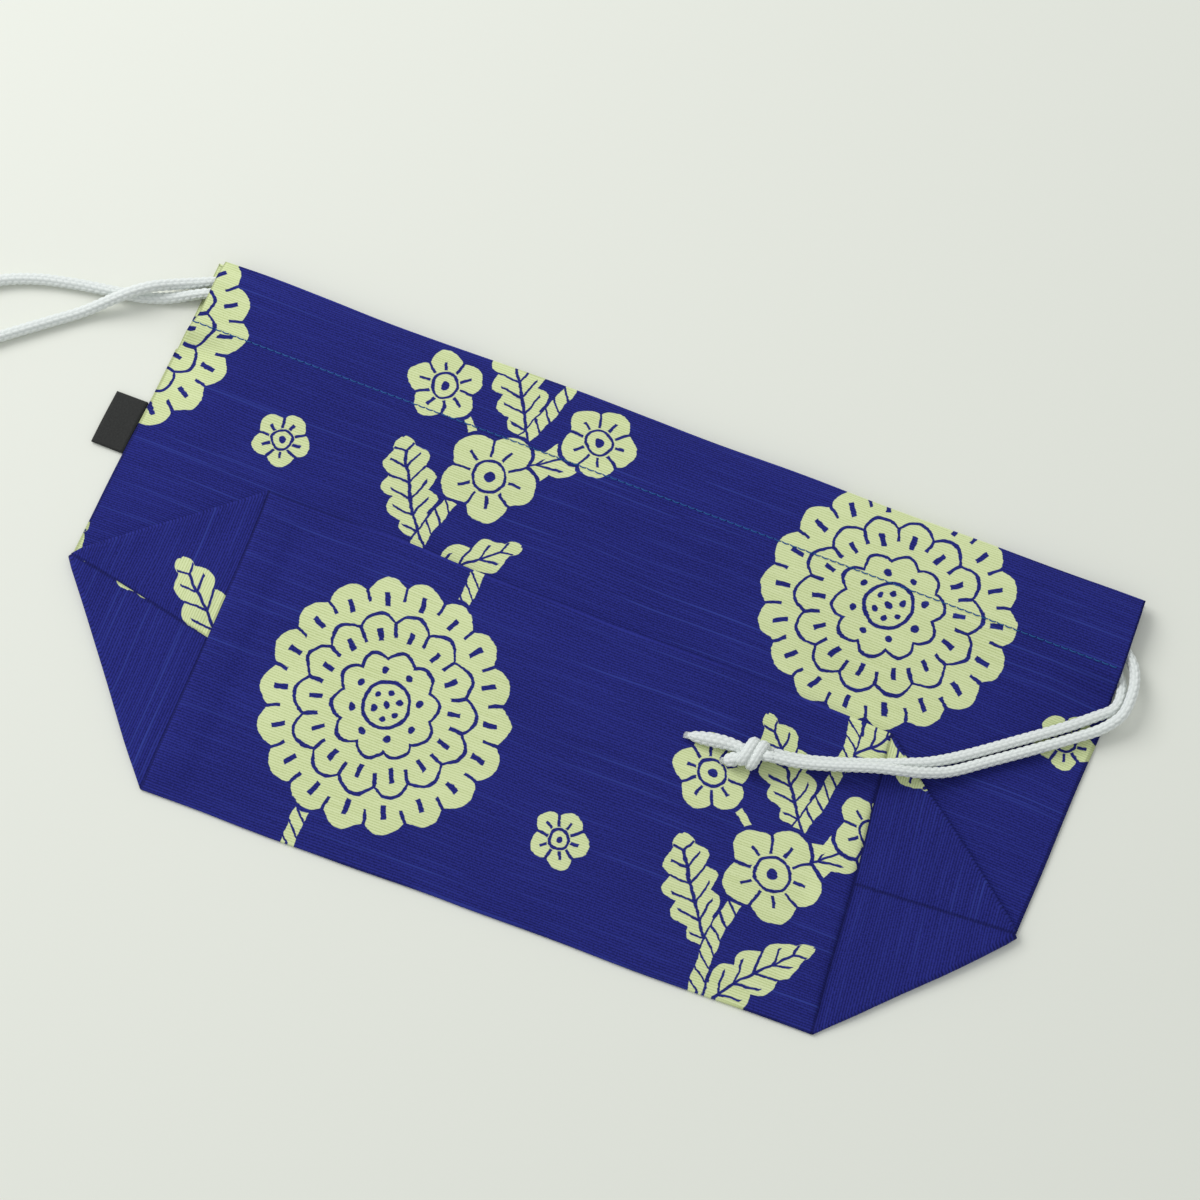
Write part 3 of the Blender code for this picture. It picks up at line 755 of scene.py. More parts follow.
LIFT = 1.3 * MM
FRONT_TOP = layer_height(2) + 2 * HUG
SEAM_GROOVE = 0.5 * MM
FOLD_SPRING = 0.7 * MM
SEAM_GROOVE_WIDTH = 2.2 * MM
SEAM_ALLOWANCE = 9 * MM
ALLOWANCE_RISE = 0.8 * MM
TRIANGLE_OVERLAP = 0.6 * MM
TRIANGLE_DIP = 0.35 * MM
PUCKER_RISE = 0.6 * MM
PUCKER_REACH = 26 * MM


def front_rise(y):
    """The front layer's height up the middle of the bag: it climbs to the casing over the cords."""
    low = layer_height(1)
    t = min(1.0, max(0.0, (y - TENT_Y) / (STITCH_Y - TENT_Y)))
    return low + (FRONT_TOP - low) * (0.65 * t + 0.35 * ease(t))


def front_height(x, y, inwards, full=None):
    low = layer_height(1)
    full = front_rise(y) if full is None else full
    pinned = 1 - ease((y - SLIT_Y) / PINCH_RISE)
    z = low + (full - low) * (1 - pinned * (1 - ease(inwards / PINCH_WIDTH)))
    edge = ease(inwards / (10 * MM))
    pucker = 0.0
    if y < STITCH_Y:
        pucker = max(0.0, noise.noise(Vector((x * 130, y * 22, 2.0))))
        pucker *= ease(1 - (STITCH_Y - y) / PUCKER_REACH)
    lift = 0.55 * LIFT * swell(x, y, 5.0) * ease((STITCH_Y - y) / (20 * MM) + 0.25)
    return z + (lift + PUCKER_RISE * pucker) * edge


def turned_up_height(x, y, inwards):
    return layer_height(2) + 0.75 * LIFT * swell(x, y, 5.0) * ease((y - FOLD_DEPTH) / (10 * MM))


def base_level(x, y, y_flat, from_seam):
    """The base's height: it lies on the back near the bottom fold, and on three layers further up.
    The boxed corner's seam is a groove, and its allowance thickens the base a little beside it."""
    share = min(1.0, max(0.0, y_flat / FOLD_DEPTH))
    low = layer_height(1) + (layer_height(3) - layer_height(1)) * share
    ends = ease(y_flat / (8 * MM)) * ease((2 * FOLD_DEPTH - y_flat) / (8 * MM))
    groove = -SEAM_GROOVE * (1 - ease(abs(from_seam) / SEAM_GROOVE_WIDTH))
    allowance = 0.0
    if from_seam > 0:
        allowance = ALLOWANCE_RISE * (1 - ease((from_seam - SEAM_ALLOWANCE) / (5 * MM)))
    past = max(0.0, from_seam * -1)
    from_fold = (2 * FOLD_DEPTH - past - y_flat) / (1.0 if past == 0 else math.sqrt(2))
    spring = FOLD_SPRING * (1 - ease(from_fold / (7 * MM)))
    spring *= ease((y_flat - FOLD_DEPTH) / (14 * MM))
    lift = LIFT * swell(x, y, 5.0) * ease(y_flat / (12 * MM))
    return low + spring + lift + (groove + allowance) * ends


def hem_round_cords(top_z, back_radius, front_radius, foot_z):
    """A hem from the mouth down: over the back run's cords and under the front run's."""
    radii = (back_radius, front_radius, front_radius, back_radius)
    return belt(
        [(FLAT_HEIGHT - TOP_FOLD_RISE / 2, top_z, 0)]
        + [(*rod, radius) for rod, radius in zip(RODS, radii)]
        + [(STITCH_Y, foot_z, 0)]
    )


def fold_round(middle_z, ends):
    """The heights and ends of three rows round the fold at the mouth, from above to below."""
    for step in (1, 2, 3):
        angle = math.pi * (step / 4 - 0.5)
        shift = Vector((0, LAYER_PITCH / 2 * math.cos(angle)))
        yield middle_z - LAYER_PITCH / 2 * math.sin(angle), [p + shift for p in ends]


def make_cloth():
    sheet = Sheet()
    reach = HEM_REACH

    # The back's hem, inside the casing, drawn round the cords of the back run
    hem = hem_round_cords(layer_height(1), HUG, -HUG - LAYER_PITCH, layer_height(1))
    mouth = FLAT_HEIGHT + FOLD_DEPTH
    for y, z in reversed(hem):
        place = -(mouth + (FLAT_HEIGHT - y))
        sheet.add_row([Vector((-reach, y)), Vector((reach, y))], reach, place, z)
    for z, ends in fold_round((layer_height(1) + layer_height(0)) / 2, outline_ends(FLAT_HEIGHT)):
        sheet.add_row(ends, HALF_WIDTH, -mouth, z)

    # The back, from the mouth down to the bottom fold
    back_rows = {}
    ys = steps_between(FLAT_HEIGHT, SLIT_Y, GRID) + steps_between(SLIT_Y, FOLD_DEPTH, GRID)[1:]
    low_ys = steps_between(FOLD_DEPTH, 0, GRID)
    for y in ys + low_ys[1:]:
        half = HALF_WIDTH if y >= FOLD_DEPTH else BASE_HALF + y
        place = -(y + FOLD_DEPTH)
        back_rows[round(y, 6)] = sheet.add_row(outline_ends(y), half, place, layer_height(0))

    # The base: its middle, and the two triangles into which the sides fold
    count = FOLD_ROWS
    base_rows = []
    for j in range(2 * count + 1):
        share = j / (2 * count)
        y = 2 * FOLD_DEPTH * share
        ends = [BASE_LOW[s].lerp(BASE_HIGH[s], share) for s in (0, 1)]
        base_rows.append(
            sheet.row(ends, BASE_HALF, y - FOLD_DEPTH, lambda px, py, d: base_level(px, py, y, d))
        )
    for low, high in zip(base_rows, base_rows[1:]):
        sheet.join_rows(low, high)

    diagonals = []
    for side in (0, 1):
        sign = (-1, 1)[side]
        end = (0, -1)[side]
        rows = [{j: base_rows[j][end][0] for j in range(2 * count + 1)}]
        for i in range(1, count + 1):
            row = {}
            for j in range(i, 2 * count - i + 1):
                middle = (BASE_LOW[side] + BASE_HIGH[side]) / 2
                along = (j - count) / count
                tip = BASE_LOW[side] if along < 0 else BASE_HIGH[side]
                spot = middle + (SIDE[side] - middle) * (i / count) + (tip - middle) * abs(along)
                y_flat = FOLD_DEPTH * (1 + along)
                seam = FOLD_DEPTH * i / count
                z = base_level(spot.x, spot.y, y_flat, -seam)
                above = along * FOLD_DEPTH
                overlap = 0.0
                if above > 0:
                    overlap = TRIANGLE_OVERLAP * (1 - ease((above - 4 * MM) / (9 * MM)))
                dip = TRIANGLE_DIP if j == count else 0.0
                z += (overlap - dip) * ease(seam / (8 * MM))
                row[j] = sheet.point(spot.x, spot.y, z)
            rows.append(row)
        for i in range(count):
            inner = rows[i + 1]
            for j in range(i, 2 * count - i):
                corners = [(i, j), (i, j + 1)]
                if j + 1 in inner:
                    corners.append((i + 1, j + 1))
                if j in inner:
                    corners.append((i + 1, j))
                half = -1 if j < count else 1
                sheet.face([(rows[a][b], triangle_place(sign, a, b, half)) for a, b in corners])
        lower = [(rows[i][i], triangle_place(sign, i, i, -1)) for i in range(count + 1)]
        upper = []
        for i in range(count + 1):
            j = 2 * count - i
            upper.append((rows[i][j], triangle_place(sign, i, j, 1)))
        diagonals.append((lower, upper))

    # The front's foot, turned up under the base, then the front itself up to the mouth
    foot_rows = []
    for i in range(count + 1):
        y = 2 * FOLD_DEPTH - FOLD_DEPTH * i / count
        ends = [BASE_HIGH[s].lerp(SIDE[s], i / count) for s in (0, 1)]
        half = HALF_WIDTH + FOLD_DEPTH - y
        foot_rows.append(sheet.row(ends, half, 3 * FOLD_DEPTH - y, turned_up_height))
    for low, high in zip(foot_rows, foot_rows[1:]):
        sheet.join_rows(low, high)

    front_rows = []
    for y in reversed(ys[ys.index(SLIT_Y) :]):
        front_rows.append((y, sheet.row(outline_ends(y), HALF_WIDTH, y + FOLD_DEPTH, front_height)))
    for low, high in zip(front_rows, front_rows[1:]):
        sheet.join_rows(low[1], high[1])

    # The front casing over all four cord runs, the fold at the mouth, and its hem inside
    mouth_z = FRONT_TOP - TOP_FOLD_RISE / 2
    outer = []
    for y in steps_between(SLIT_Y, STITCH_Y, 1.5 * MM)[1:]:
        outer.append((y, front_rise(y)))
    over = (HUG + 2 * LAYER_PITCH, HUG, HUG, HUG + 2 * LAYER_PITCH)
    crown = belt(
        [(STITCH_Y, FRONT_TOP, 0)]
        + [(*rod, radius) for rod, radius in zip(RODS[::-1], over)]
        + [(FLAT_HEIGHT, mouth_z, 0)]
    )
    previous_y = outer[-1][0]
    for y, z in crown[1:]:
        gap = y - previous_y
        parts = max(1, round(gap / (2 * MM)))
        start_z = outer[-1][1]
        for n in range(1, parts + 1):
            outer.append((previous_y + gap * n / parts, start_z + (z - start_z) * n / parts))
        previous_y = y
    sheet.last = front_rows[-1][1]
    for y, z in outer:
        ends = outline_ends(y)
        inset = FRONT_INSET * ease((y - SLIT_Y) / (14 * MM))
        ends = [ends[0] + Vector((inset, 0)), ends[1]]
        sheet.add_row(ends, HALF_WIDTH, y + FOLD_DEPTH, lambda px, py, d: front_height(px, y, d, z))
    ends = outline_ends(FLAT_HEIGHT)
    ends = [ends[0] + Vector((FRONT_INSET, 0)), ends[1]]
    for z, ends in fold_round(mouth_z - LAYER_PITCH / 2, ends):
        sheet.add_row(ends, HALF_WIDTH, mouth, z)
    hem = hem_round_cords(mouth_z - LAYER_PITCH, HUG + LAYER_PITCH, -HUG, FRONT_TOP - LAYER_PITCH)
    for y, z in hem:
        place = mouth + (FLAT_HEIGHT - y)
        sheet.add_row([Vector((-reach, y)), Vector((reach, y))], reach, place, z)

    # The folds that join these layers, and the side seams
    down, up = Vector((0, -1)), Vector((0, 1))
    base_back = back_rows[round(0.0, 6)]
    bottom = fold_strip(sheet, base_back, base_rows[0], [down] * (COLUMNS + 1))
    far = fold_strip(sheet, foot_rows[0], base_rows[-1], [up] * (COLUMNS + 1))
    foot = fold_strip(sheet, front_rows[0][1], foot_rows[-1], [down] * (COLUMNS + 1))
    for side in (0, 1):
        sign, end = (-1, 1)[side], (0, -1)[side]
        lower, upper = diagonals[side]
        slant_low = Vector((sign, -1)).normalized()
        slant_high = Vector((sign, 1)).normalized()
        back_ends = [back_rows[round(y, 6)][end] for y in reversed(low_ys)]
        low_strip = fold_strip(sheet, back_ends, lower, [slant_low] * len(lower))
        foot_ends = [row[end] for row in foot_rows]
        high_strip = fold_strip(sheet, foot_ends, upper, [slant_high] * len(upper))
        seam_back = [back_rows[round(y, 6)][end] for y, _ in front_rows]
        seam_front = [row[end] for _, row in front_rows]
        seam = fold_strip(sheet, seam_back, seam_front, [Vector((sign, 0))] * len(seam_front))
        foot_column = foot[end]
        loop = (
            [c[0] for c in low_strip[-1]][:-1]
            + [c[0] for c in reversed(high_strip[-1])][:-1]
            + [c[0] for c in reversed(foot_column)][:-1]
            + [c[0] for c in reversed(seam[0])][:-1]
        )
        heart = sheet.mesh.verts.new(sum((v.co for v in loop), Vector()) / len(loop))
        spot = (sign * HALF_WIDTH, -2 * FOLD_DEPTH)
        for first, second in zip(loop, loop[1:] + loop[:1]):
            sheet.face([(first, spot), (second, spot), (heart, spot)])
        for strip, near in ((low_strip, bottom), (high_strip, far)):
            fan = [c[0] for c in strip[0]]
            flat_end = [c[0] for c in near[end]]
            for a, b, c, d in zip(fan, fan[1:], flat_end[1:], flat_end):
                corners = []
                for v in (a, b, c, d):
                    if v not in corners:
                        corners.append(v)
                if len(corners) > 2:
                    sheet.face([(v, (sign * BASE_HALF, strip[0][0][1][1])) for v in corners])

    return sheet.finish("folded_bag")


def triangle_place(sign, i, j, half):
    """Where on the cloth a corner triangle's point comes from: half is -1 below its seam, 1 above."""
    out = FOLD_DEPTH * i / FOLD_ROWS
    y = FOLD_DEPTH * j / FOLD_ROWS
    if half < 0:
        return (sign * (BASE_HALF + y), -(FOLD_DEPTH + out))
    return (sign * (BASE_HALF + 2 * FOLD_DEPTH - y), FOLD_DEPTH + out)


def thickened(piece, thickness):
    """Gives a sheet its wall, half on either side."""
    wall = piece.modifiers.new("thickness", "SOLIDIFY")
    wall.thickness = thickness
    wall.offset = 0
    return piece


cloth = thickened(placed("printed_cloth", make_cloth()), CLOTH_THICKNESS)

# The cotton is dyed deep blue and printed in one pale colour with an old stock pattern: round
# chrysanthemum heads and plum blossom on a leafy vine, as if cut with a knife from paper.
# Lengths of the pattern are in millimetres on the uncut cloth.
COLUMN_PITCH = 133.0
HEAD_PITCH = 370.0
FIRST_COLUMN = -48.0
VINE_SWAY = 13.0
VINE_WIDTH = 4.4
LEAF_PITCH = 46.25
LEAF_LENGTH = 43.0
LEAF_WIDTH = 8.2
LEAF_ANGLE = math.radians(42)
LEAF_SHIFT = 10.0
HEAD_RADIUS = 40.0
SECOND_RADIUS = 26.0
THIRD_RADIUS = 14.6
HEART_RADIUS = 7.4
EDGE = 0.13
CUT = 0.62
RIB_PITCH = 0.82

# The dark colours are the weave in painted shade between the ribs, and yarn that is darker by chance
BLUE_DARK = (0.0072, 0.0092, 0.098)
BLUE = (0.0215, 0.0265, 0.238)
BLUE_SLUB = (0.0300, 0.0460, 0.290)
# Painted shade along the seams, in the blue
BLUE_SEAM_SHADE = (0.0040, 0.0040, 0.040)
PALE = (0.690, 0.765, 0.425)
PALE_DARK = (0.490, 0.565, 0.250)
PALE_SLUB = (0.750, 0.815, 0.480)
# Painted shade along the seams, over the print
PALE_SEAM_SHADE = (0.230, 0.260, 0.110)

cotton, tree, shader = new_material("printed_cotton", 0.85, 0.15)
across, down_cloth = uv_fields(tree, 1000.0)


def cloth_noise(x, y, z=0.0, scale=1.0, detail=2.0, roughness=0.5):
    return noise_field(tree, vector_of(tree, x, y, z), scale, detail, roughness)


wander = cloth_noise(across, down_cloth, 0.0, 0.16, 2.0, 0.4)
wander_too = cloth_noise(across + 91.0, down_cloth, 0.0, 0.16, 2.0, 0.4)
jag = cloth_noise(across, down_cloth, 4.0, 1.1, 1.0) - 0.5
x = across + (wander - 0.5) * 2.2 + jag * 0.55
y = down_cloth + (wander_too - 0.5) * 2.2 + jag * 0.4


def inside(distance):
    """1 where a distance is above 0, with a thin soft edge."""
    return distance.rounded(-EDGE, EDGE)


def both(first, second):
    return first * second


def either(first, second):
    return first.at_least(second)


def without(first, second):
    return first * (1 - second)


def length_of(a, b):
    return (a * a + b * b) ** 0.5


# Each column of the pattern starts half a repeat lower than the last
column = ((x - FIRST_COLUMN) / COLUMN_PITCH + 0.5).do("FLOOR")
in_column = x - FIRST_COLUMN - column * COLUMN_PITCH
odd = column.do("PINGPONG", 1.0)
along = y / HEAD_PITCH + odd * 0.5
along = (along - along.do("FLOOR")) * HEAD_PITCH
head_y = along - (along - HEAD_PITCH / 2).do("SIGN").at_least(0.0) * HEAD_PITCH
bloom_y = along - HEAD_PITCH / 2

# The vine, a rope with a slanting twist, and its lobed leaves, left and right in turn
sway = (along * (4 * math.pi / HEAD_PITCH)).do("SINE") * VINE_SWAY
off_vine = in_column - sway
twist = ((along + off_vine * 0.9) / 4.6).do("FRACT")
strand_cuts = inside((twist - 0.5).size() * 4.6 - CUT * 0.75)
vine = both(inside(VINE_WIDTH / 2 - off_vine.size()), strand_cuts)
side_of = off_vine.do("SIGN")
leaf_at = along + side_of * LEAF_SHIFT
leaf_number = (leaf_at / LEAF_PITCH).do("FLOOR")
leaf_y = leaf_at - leaf_number * LEAF_PITCH


def leaf(out, up):
    """One leaf from its foot on the vine: three round lobes a side, a midrib and slanting veins."""
    run = out * math.sin(LEAF_ANGLE) + up * math.cos(LEAF_ANGLE)
    wide = out * math.cos(LEAF_ANGLE) - up * math.sin(LEAF_ANGLE)
    share = run / LEAF_LENGTH
    belly = (share * (1 - share)).at_least(0.0) ** 0.62 * (2.36 * LEAF_WIDTH)
    lobes = (share * (4.5 * math.pi)).do("SINE").size() * 0.34 + 0.66
    body = inside(belly * lobes - wide.size() - 0.3)
    rib = both(inside(CUT * 0.8 - wide.size()), inside(LEAF_LENGTH * 0.86 - run))
    vein = ((run - wide.size() * 1.1) / 6.6).do("FRACT")
    veins = both(inside(CUT * 0.75 - (vein - 0.5).size() * 5.0), inside(belly * 0.66 - wide.size()))
    stalk = both(inside(1.15 - wide.size()), both(inside(run), inside(LEAF_LENGTH * 0.4 - run)))
    return either(without(body, either(rib, veins)), without(stalk, body))


def clear_of_heads(number):
    """1 for a leaf whose whole length is clear of the flower heads."""
    foot = number * LEAF_PITCH - side_of * LEAF_SHIFT
    return both(inside(foot - 38.0), inside(HEAD_PITCH - 72.0 - foot))


leaves = either(
    both(leaf(off_vine.size(), leaf_y), clear_of_heads(leaf_number)),
    both(leaf(off_vine.size(), leaf_y - LEAF_PITCH), clear_of_heads(leaf_number + 1)),
)
stems = either(vine, without(leaves, inside(VINE_WIDTH / 2 + 0.7 - off_vine.size())))


def turns(angle, count):
    """How far round between two petals' middles, as a sine that is 0 at each cut between petals."""
    return (angle * (count / 2)).do("SINE").size()


# The chrysanthemum head: three rows of petals round a dotted heart
head_x = in_column
reach = length_of(head_x, head_y)
angle = head_y.do("ARCTAN2", head_x)
outer = HEAD_RADIUS - 2.6 + (angle * 9).do("SINE").size() * 3.4
second = SECOND_RADIUS + (angle * 7).do("SINE").size() * 3.6
third = THIRD_RADIUS + (angle * 5).do("SINE").size() * 2.8
cuts_outer = both(inside(CUT * 0.9 - turns(angle, 18) * reach / 9), inside(reach - 33.5))
seeds = both(
    inside(0.85 - (angle * 9).do("COSINE").size() * reach / 9),
    both(inside(reach - 31.6), inside(36.4 - reach)),
)
cuts_second = both(
    inside(CUT - turns(angle, 14) * reach / 7), both(inside(reach - 21.5), inside(second - reach))
)
seeds_second = both(
    inside(0.8 - (angle * 7).do("COSINE").size() * reach / 7),
    both(inside(reach - 20.2), inside(24.4 - reach)),
)
line_second = inside(CUT - (reach - second).size())
line_third = inside(CUT - (reach - third).size())
heart_ring = inside(CUT - (reach - HEART_RADIUS).size())
dots = inside(1.15 - length_of((reach - 11.0), (angle * 4).do("COSINE") * 2.6))
heart_dots = inside(1.0 - length_of(reach - 4.3, (angle * 3).do("COSINE") * 1.5))
heart = inside(1.2 - reach)
cut_lines = cuts_outer
for line in (
    seeds, cuts_second, seeds_second, line_second, line_third, heart_ring, dots, heart_dots, heart
):
    cut_lines = either(cut_lines, line)
head = without(inside(outer - reach), cut_lines)
pattern = either(without(stems, inside(outer + 1.6 - reach)), head)


def blossom(out, up, size):
    """A five-petalled plum blossom: (the print, the space that it takes)."""
    far = length_of(out, up)
    round_it = up.do("ARCTAN2", out)
    petal = (round_it * 2.5).do("COSINE").size()
    edge = petal * (0.26 * size) + 0.76 * size
    cut = both(inside(CUT * 0.8 - petal * far * 0.4), inside(far - 0.45 * size))
    ring = inside(CUT * 0.8 - (far - 0.34 * size).size())
    stamens = both(
        inside(0.5 - (round_it * 5).do("SINE").size() * far * 0.2),
        both(inside(far - 0.42 * size), inside(0.70 * size - far)),
    )
    eye = inside(0.12 * size - far)
    lines = either(either(cut, ring), either(stamens, eye))
    return without(inside(edge - far), lines), inside(edge + 1.5 - far)


# A plum spray half way between two heads, and loose blossom between the columns
mirrored, beside = in_column.size(), in_column.do("SIGN")
stalks = both(
    inside(1.2 - (bloom_y + 6.0 - mirrored * 0.95).size() * 0.72),
    both(inside(mirrored - 1.0), inside(24.0 - mirrored)),
)
pattern = either(pattern, stalks)
# Each blossom's place across and along, and its size
sprays = [
    (in_column, bloom_y + 7.0, 15.5),
    (mirrored - 27.0, bloom_y - 17.0, 12.5),
    (beside * (mirrored - COLUMN_PITCH / 2), along - 257.5 - beside * (HEAD_PITCH / 4), 9.5),
    (mirrored - 44.0, head_y - beside * 58.0, 7.5),
]
for out, up, size in sprays:
    drawn, space = blossom(out, up, size)
    pattern = either(without(pattern, space), drawn)

# The weave: fine weft ribs across the cloth, slubs where a yarn runs thick, and warp between
drift = cloth_noise(across * 0.012, down_cloth * 0.05)
rib_count = down_cloth / RIB_PITCH + drift * 3.0
yarn_number = rib_count.do("FLOOR")
rib = ((rib_count - yarn_number) * math.pi).do("SINE")
yarn = cloth_noise(across * 0.030, yarn_number * 5.37, roughness=0.55)
slub = cloth_noise(across * 0.012, yarn_number * 3.71, 7.0, detail=1.0)
warp = cloth_noise(across * 2.3, down_cloth * 1.1, 3.0)
patch = cloth_noise(across * 0.025, down_cloth * 0.04, 5.0)
light_yarn = yarn.rounded(0.50, 0.76) * 0.30 + slub.rounded(0.60, 0.74) * 0.75
# Painted shade darkens the colour between the ribs; yarn, warp and patch noise vary its tone at random
shade = rib * 0.85 + (warp - 0.5) * 1.9 + (yarn - 0.5) * 0.40 + (patch - 0.5) * 0.3 - 0.08
shade = shade.rounded(-0.15, 1.0)
pale_shade = rib * 0.62 + (warp - 0.5) * 0.8 + (yarn - 0.5) * 0.5 + (patch - 0.5) * 0.4 + 0.04
pale_shade = pale_shade.rounded(-0.15, 0.70)

# The seams: a groove at each side seam and where a lower corner is boxed, with painted shade that
# darkens the colour along it
to_side = HALF_WIDTH / MM - across.size()
from_base = down_cloth.size() - FOLD_DEPTH / MM
within_base = BASE_HALF / MM - across.size()
to_box = within_base.size().at_least(from_base)
to_corner = from_base.size().at_least(within_base)
seam_groove_and_shade = 1 - to_side.at_most(to_box).at_most(to_corner).rounded(0.05, 0.85)

blue = blend_colours(tree, shade, BLUE_DARK, BLUE)
# Slubs are lighter yarns, and they fade into the painted shade between the ribs
blue = blend_colours(tree, light_yarn * (rib * 0.6 + 0.3), blue, BLUE_SLUB)
# Painted shade along the seams darkens the blue and the print; the groove itself is the bump below
blue = blend_colours(tree, seam_groove_and_shade * 0.5, blue, BLUE_SEAM_SHADE)
pale = blend_colours(tree, pale_shade, PALE_DARK, PALE)
pale = blend_colours(tree, light_yarn * 0.45, pale, PALE_SLUB)
pale = blend_colours(tree, seam_groove_and_shade * 0.5, pale, PALE_SEAM_SHADE)
tree.links.new(blend_colours(tree, pattern, blue, pale), shader.inputs["Base Color"])
bumped(tree, shader, rib * 0.5 + warp * 0.4 + light_yarn * 0.4 - seam_groove_and_shade * 1.6, 0.00014, 0.9)
cloth.data.materials.append(cotton)
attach(cloth, "root")
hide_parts("bag_cloth")


# The side tag: a short length of black woven tape, folded in two and caught in the left side seam.
# It carries nothing.
TAG_LENGTH = 12.0 * MM
TAG_WIDTH = 19.0 * MM
TAG_MIDDLE_Y = FLAT_HEIGHT - 63.0 * MM
TAG_THICKNESS = 0.25 * MM
TAG_FOLD_RADIUS = 0.25 * MM
TAG_STEPS = 24
TAG_CURL = 0.35 * MM
TAPE_BLACK = (0.0110, 0.0115, 0.0110)
TAPE_WORN = (0.036, 0.037, 0.035)


def make_tag():
    """The folded tape as one sheet: from the seam out on top, round the fold and back below."""
    ends = outline_ends(TAG_MIDDLE_Y)
    lean = (outline_ends(TAG_MIDDLE_Y + TAG_WIDTH)[0] - ends[0]).normalized()
    root = ends[0].x - OUTLINE_WANDER
    reach = TAG_LENGTH - (ends[0].x - root)
    middle_z = layer_height(0.5)
    bend = TAG_FOLD_RADIUS
    profile = [(-t * (reach - bend), bend) for t in np.linspace(0, 1, 10)]
    for angle in np.linspace(0, math.pi, 7)[1:]:
        profile.append((-(reach - bend) - bend * math.sin(angle), bend * math.cos(angle)))
    profile += [(-t * (reach - bend), -bend) for t in np.linspace(1, 0, 10)[1:]]
    sheet = Sheet()
    rows, run, last = [], 0.0, profile[0]
    for out, up in profile:
        run += math.hypot(out - last[0], up - last[1])
        last = (out, up)
        row = []
        for n in range(TAG_STEPS + 1):
            share = n / TAG_STEPS
            place = Vector((root + out, TAG_MIDDLE_Y)) + lean * TAG_WIDTH * (share - 0.5)
            curl = TAG_CURL * ease(-out / reach) * math.sin(share * math.pi + 0.4)
            vert = sheet.mesh.verts.new((place.x, place.y - FLAT_HEIGHT / 2, middle_z + up + curl))
            row.append((vert, (share * TAG_WIDTH, run)))
        rows.append(row)
    for low_row, high_row in zip(rows, rows[1:]):
        sheet.join_rows(low_row, high_row)
    return sheet.finish("black_tag")


tag = thickened(placed("black_tag", make_tag()), TAG_THICKNESS)
tape, tree, shader = new_material("black_tape", 0.75, 0.25)
tape_x, tape_y = uv_fields(tree, 1000.0)
ridge = (tape_x * (2 * math.pi / 0.34)).do("SINE") * 0.5 + 0.5
weft = (tape_y * (2 * math.pi / 0.22)).do("SINE") * 0.5 + 0.5
cloudy = noise_field(tree, vector_of(tree, tape_x, tape_y), 1.6, 3.0)
worn = (ridge * 0.3 + weft * 0.2 + cloudy * 0.6).rounded(0.2, 0.9)
tree.links.new(blend_colours(tree, worn, TAPE_BLACK, TAPE_WORN), shader.inputs["Base Color"])
shader.inputs["Sheen Weight"].default_value = 0.1
bumped(tree, shader, ridge * weft, 0.00006, 0.7)
tag.data.materials.append(tape)
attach(tag, "root")
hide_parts("side_tag")


# The stitching: one row of lockstitch across the front casing, in dark blue-green thread. It holds
# the hem to the cloth and closes the casing under the cords. The back's row faces the table.
STITCH_LENGTH = 2.3 * MM
STITCH_PITCH = 2.65 * MM
THREAD_DIAMETER = 0.44 * MM
STITCH_CURVE = 190.0
THREAD_DARK = (0.003, 0.045, 0.190)
THREAD_LIGHT = (0.008, 0.110, 0.350)
STITCH_POINTS = 160

thread, tree, shader = new_material("sewing_thread", 0.5, 0.4)
place = tree.nodes.new("ShaderNodeTexCoord").outputs["Object"]
strand_noise = noise_field(tree, place, 2200.0, 2.0)
tree.links.new(
    blend_colours(tree, strand_noise, THREAD_DARK, THREAD_LIGHT), shader.inputs["Base Color"]
)
bumped(tree, shader, strand_noise, 0.00003, 0.6)


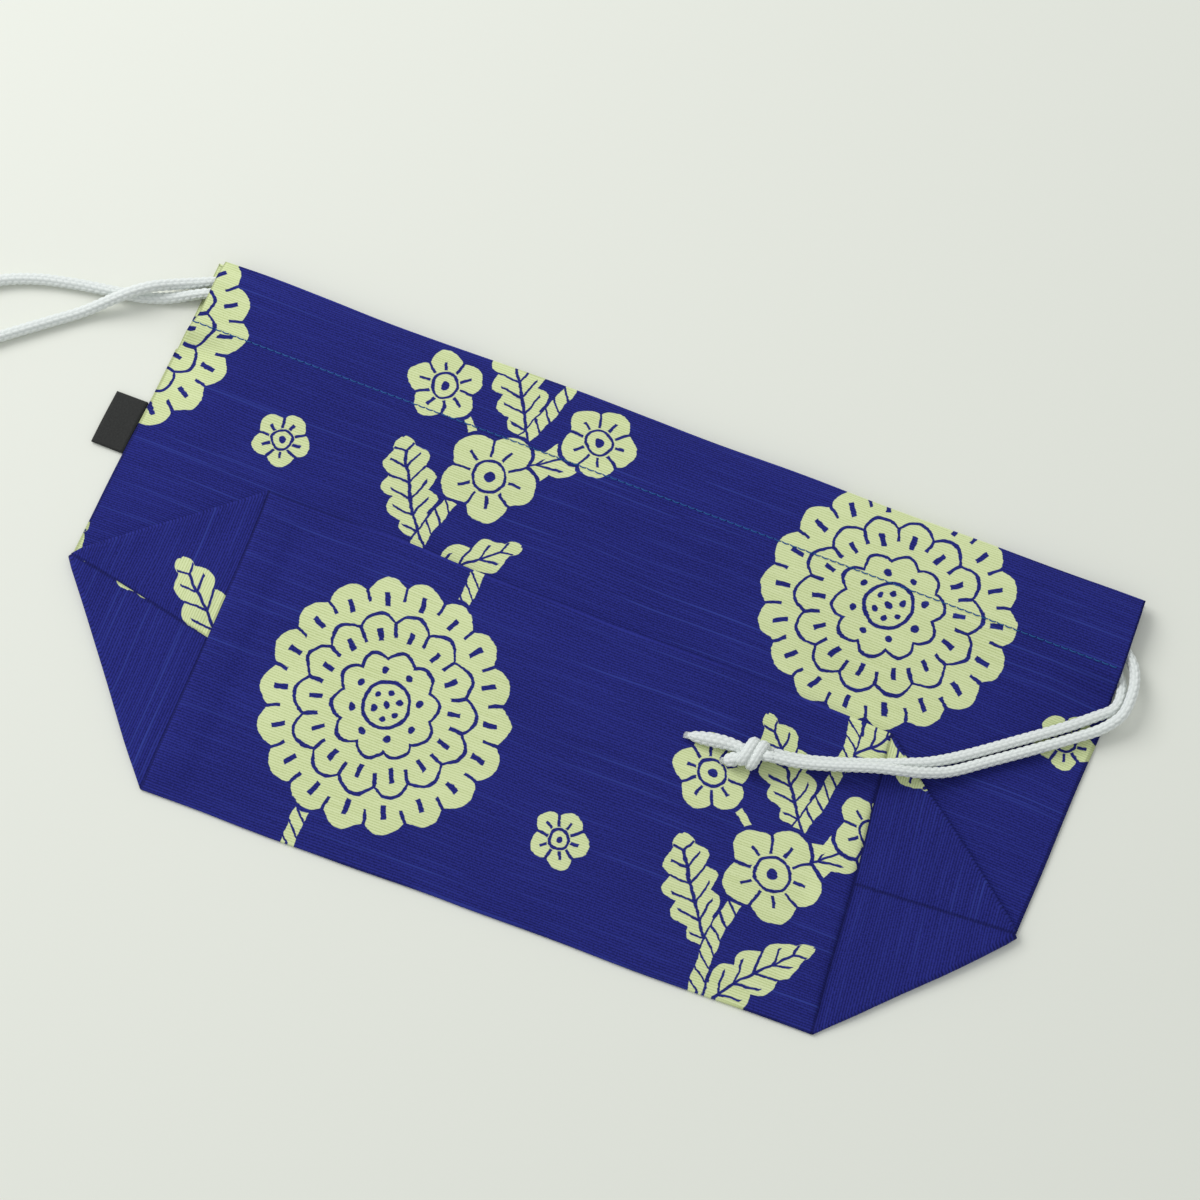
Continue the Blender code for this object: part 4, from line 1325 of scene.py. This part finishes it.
def stitching_tree():
    """Geometry nodes that lay short stitches along a line, their ends dipping into the cloth."""
    group = bpy.data.node_groups.new("lay_stitches", "GeometryNodeTree")
    for label, way, kind in (
        ("Geometry", "INPUT", "Geometry"), ("Pitch", "INPUT", "Float"),
        ("Length", "INPUT", "Float"), ("Thread", "INPUT", "Float"),
        ("Finish", "INPUT", "Material"), ("Geometry", "OUTPUT", "Geometry"),
    ):
        group.interface.new_socket(label, in_out=way, socket_type="NodeSocket" + kind)
    kinds = {
        "given": "NodeGroupInput", "result": "NodeGroupOutput", "curve": "GeometryNodeMeshToCurve",
        "points": "GeometryNodeCurveToPoints", "stitch": "GeometryNodeMeshCylinder",
        "where": "GeometryNodeInputPosition", "split": "ShaderNodeSeparateXYZ", "half": "ShaderNodeMath",
        "square": "ShaderNodeMath", "sink": "ShaderNodeMath", "shift": "ShaderNodeCombineXYZ",
        "bend": "GeometryNodeSetPosition", "lay": "GeometryNodeInstanceOnPoints",
        "real": "GeometryNodeRealizeInstances", "smooth": "GeometryNodeSetShadeSmooth",
        "dress": "GeometryNodeSetMaterial",
    }
    made = {name: group.nodes.new(kind) for name, kind in kinds.items()}
    for name in ("half", "square", "sink"):
        made[name].operation = "MULTIPLY"
    made["half"].inputs[1].default_value = 0.5
    made["sink"].inputs[1].default_value = -STITCH_CURVE
    made["points"].mode = "LENGTH"
    made["stitch"].fill_type = "NGON"
    made["stitch"].inputs["Vertices"].default_value = 6
    made["stitch"].inputs["Side Segments"].default_value = 6
    for wire in (
        "given.Geometry curve.Mesh", "curve.Curve points.Curve", "given.Pitch points.Length",
        "given.Thread half.0", "half.0 stitch.Radius", "given.Length stitch.Depth",
        "where.0 split.0", "split.Z square.0", "split.Z square.1", "square.0 sink.0", "sink.0 shift.X",
        "stitch.Mesh bend.Geometry", "shift.0 bend.Offset", "points.Points lay.Points",
        "bend.Geometry lay.Instance", "points.Rotation lay.Rotation", "lay.Instances real.Geometry",
        "real.Geometry smooth.Geometry", "smooth.Geometry dress.Geometry", "given.Finish dress.Material",
        "dress.Geometry result.Geometry",
    ):
        (source, out), (target, into) = (end.split(".") for end in wire.split())
        group.links.new(
            made[source].outputs[int(out) if out.isdigit() else out],
            made[target].inputs[int(into) if into.isdigit() else into],
        )
    return group


def sew(name, line):
    """A row of stitches along a line of points."""
    guide = bpy.data.meshes.new(name + "_line")
    guide.from_pydata([tuple(p) for p in line], [(n, n + 1) for n in range(len(line) - 1)], [])
    row = placed(name, guide)
    sewing = row.modifiers.new("stitches", "NODES")
    sewing.node_group = stitches
    values = {
        "Pitch": STITCH_PITCH, "Length": STITCH_LENGTH, "Thread": THREAD_DIAMETER, "Finish": thread
    }
    for item in stitches.interface.items_tree:
        if item.in_out == "INPUT" and item.name in values:
            sewing[item.identifier] = values[item.name]
    graph = bpy.context.evaluated_depsgraph_get()
    mesh = bpy.data.meshes.new_from_object(row.evaluated_get(graph))
    mesh.name = name
    row.modifiers.remove(sewing)
    row.data = mesh
    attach(row, "root")
    return row


stitches = stitching_tree()
front_line = []
front_ends = outline_ends(STITCH_Y)
for share in np.linspace(0.010, 0.990, STITCH_POINTS):
    spot = front_ends[0].lerp(front_ends[1], share)
    inwards = min(share, 1 - share) * BAG_WIDTH
    z = front_height(spot.x, STITCH_Y, inwards, FRONT_TOP) + CLOTH_THICKNESS / 2
    front_line.append((spot.x, spot.y - FLAT_HEIGHT / 2, z + THREAD_DIAMETER * 0.15))
sew("front_casing_stitches", front_line)


low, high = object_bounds()
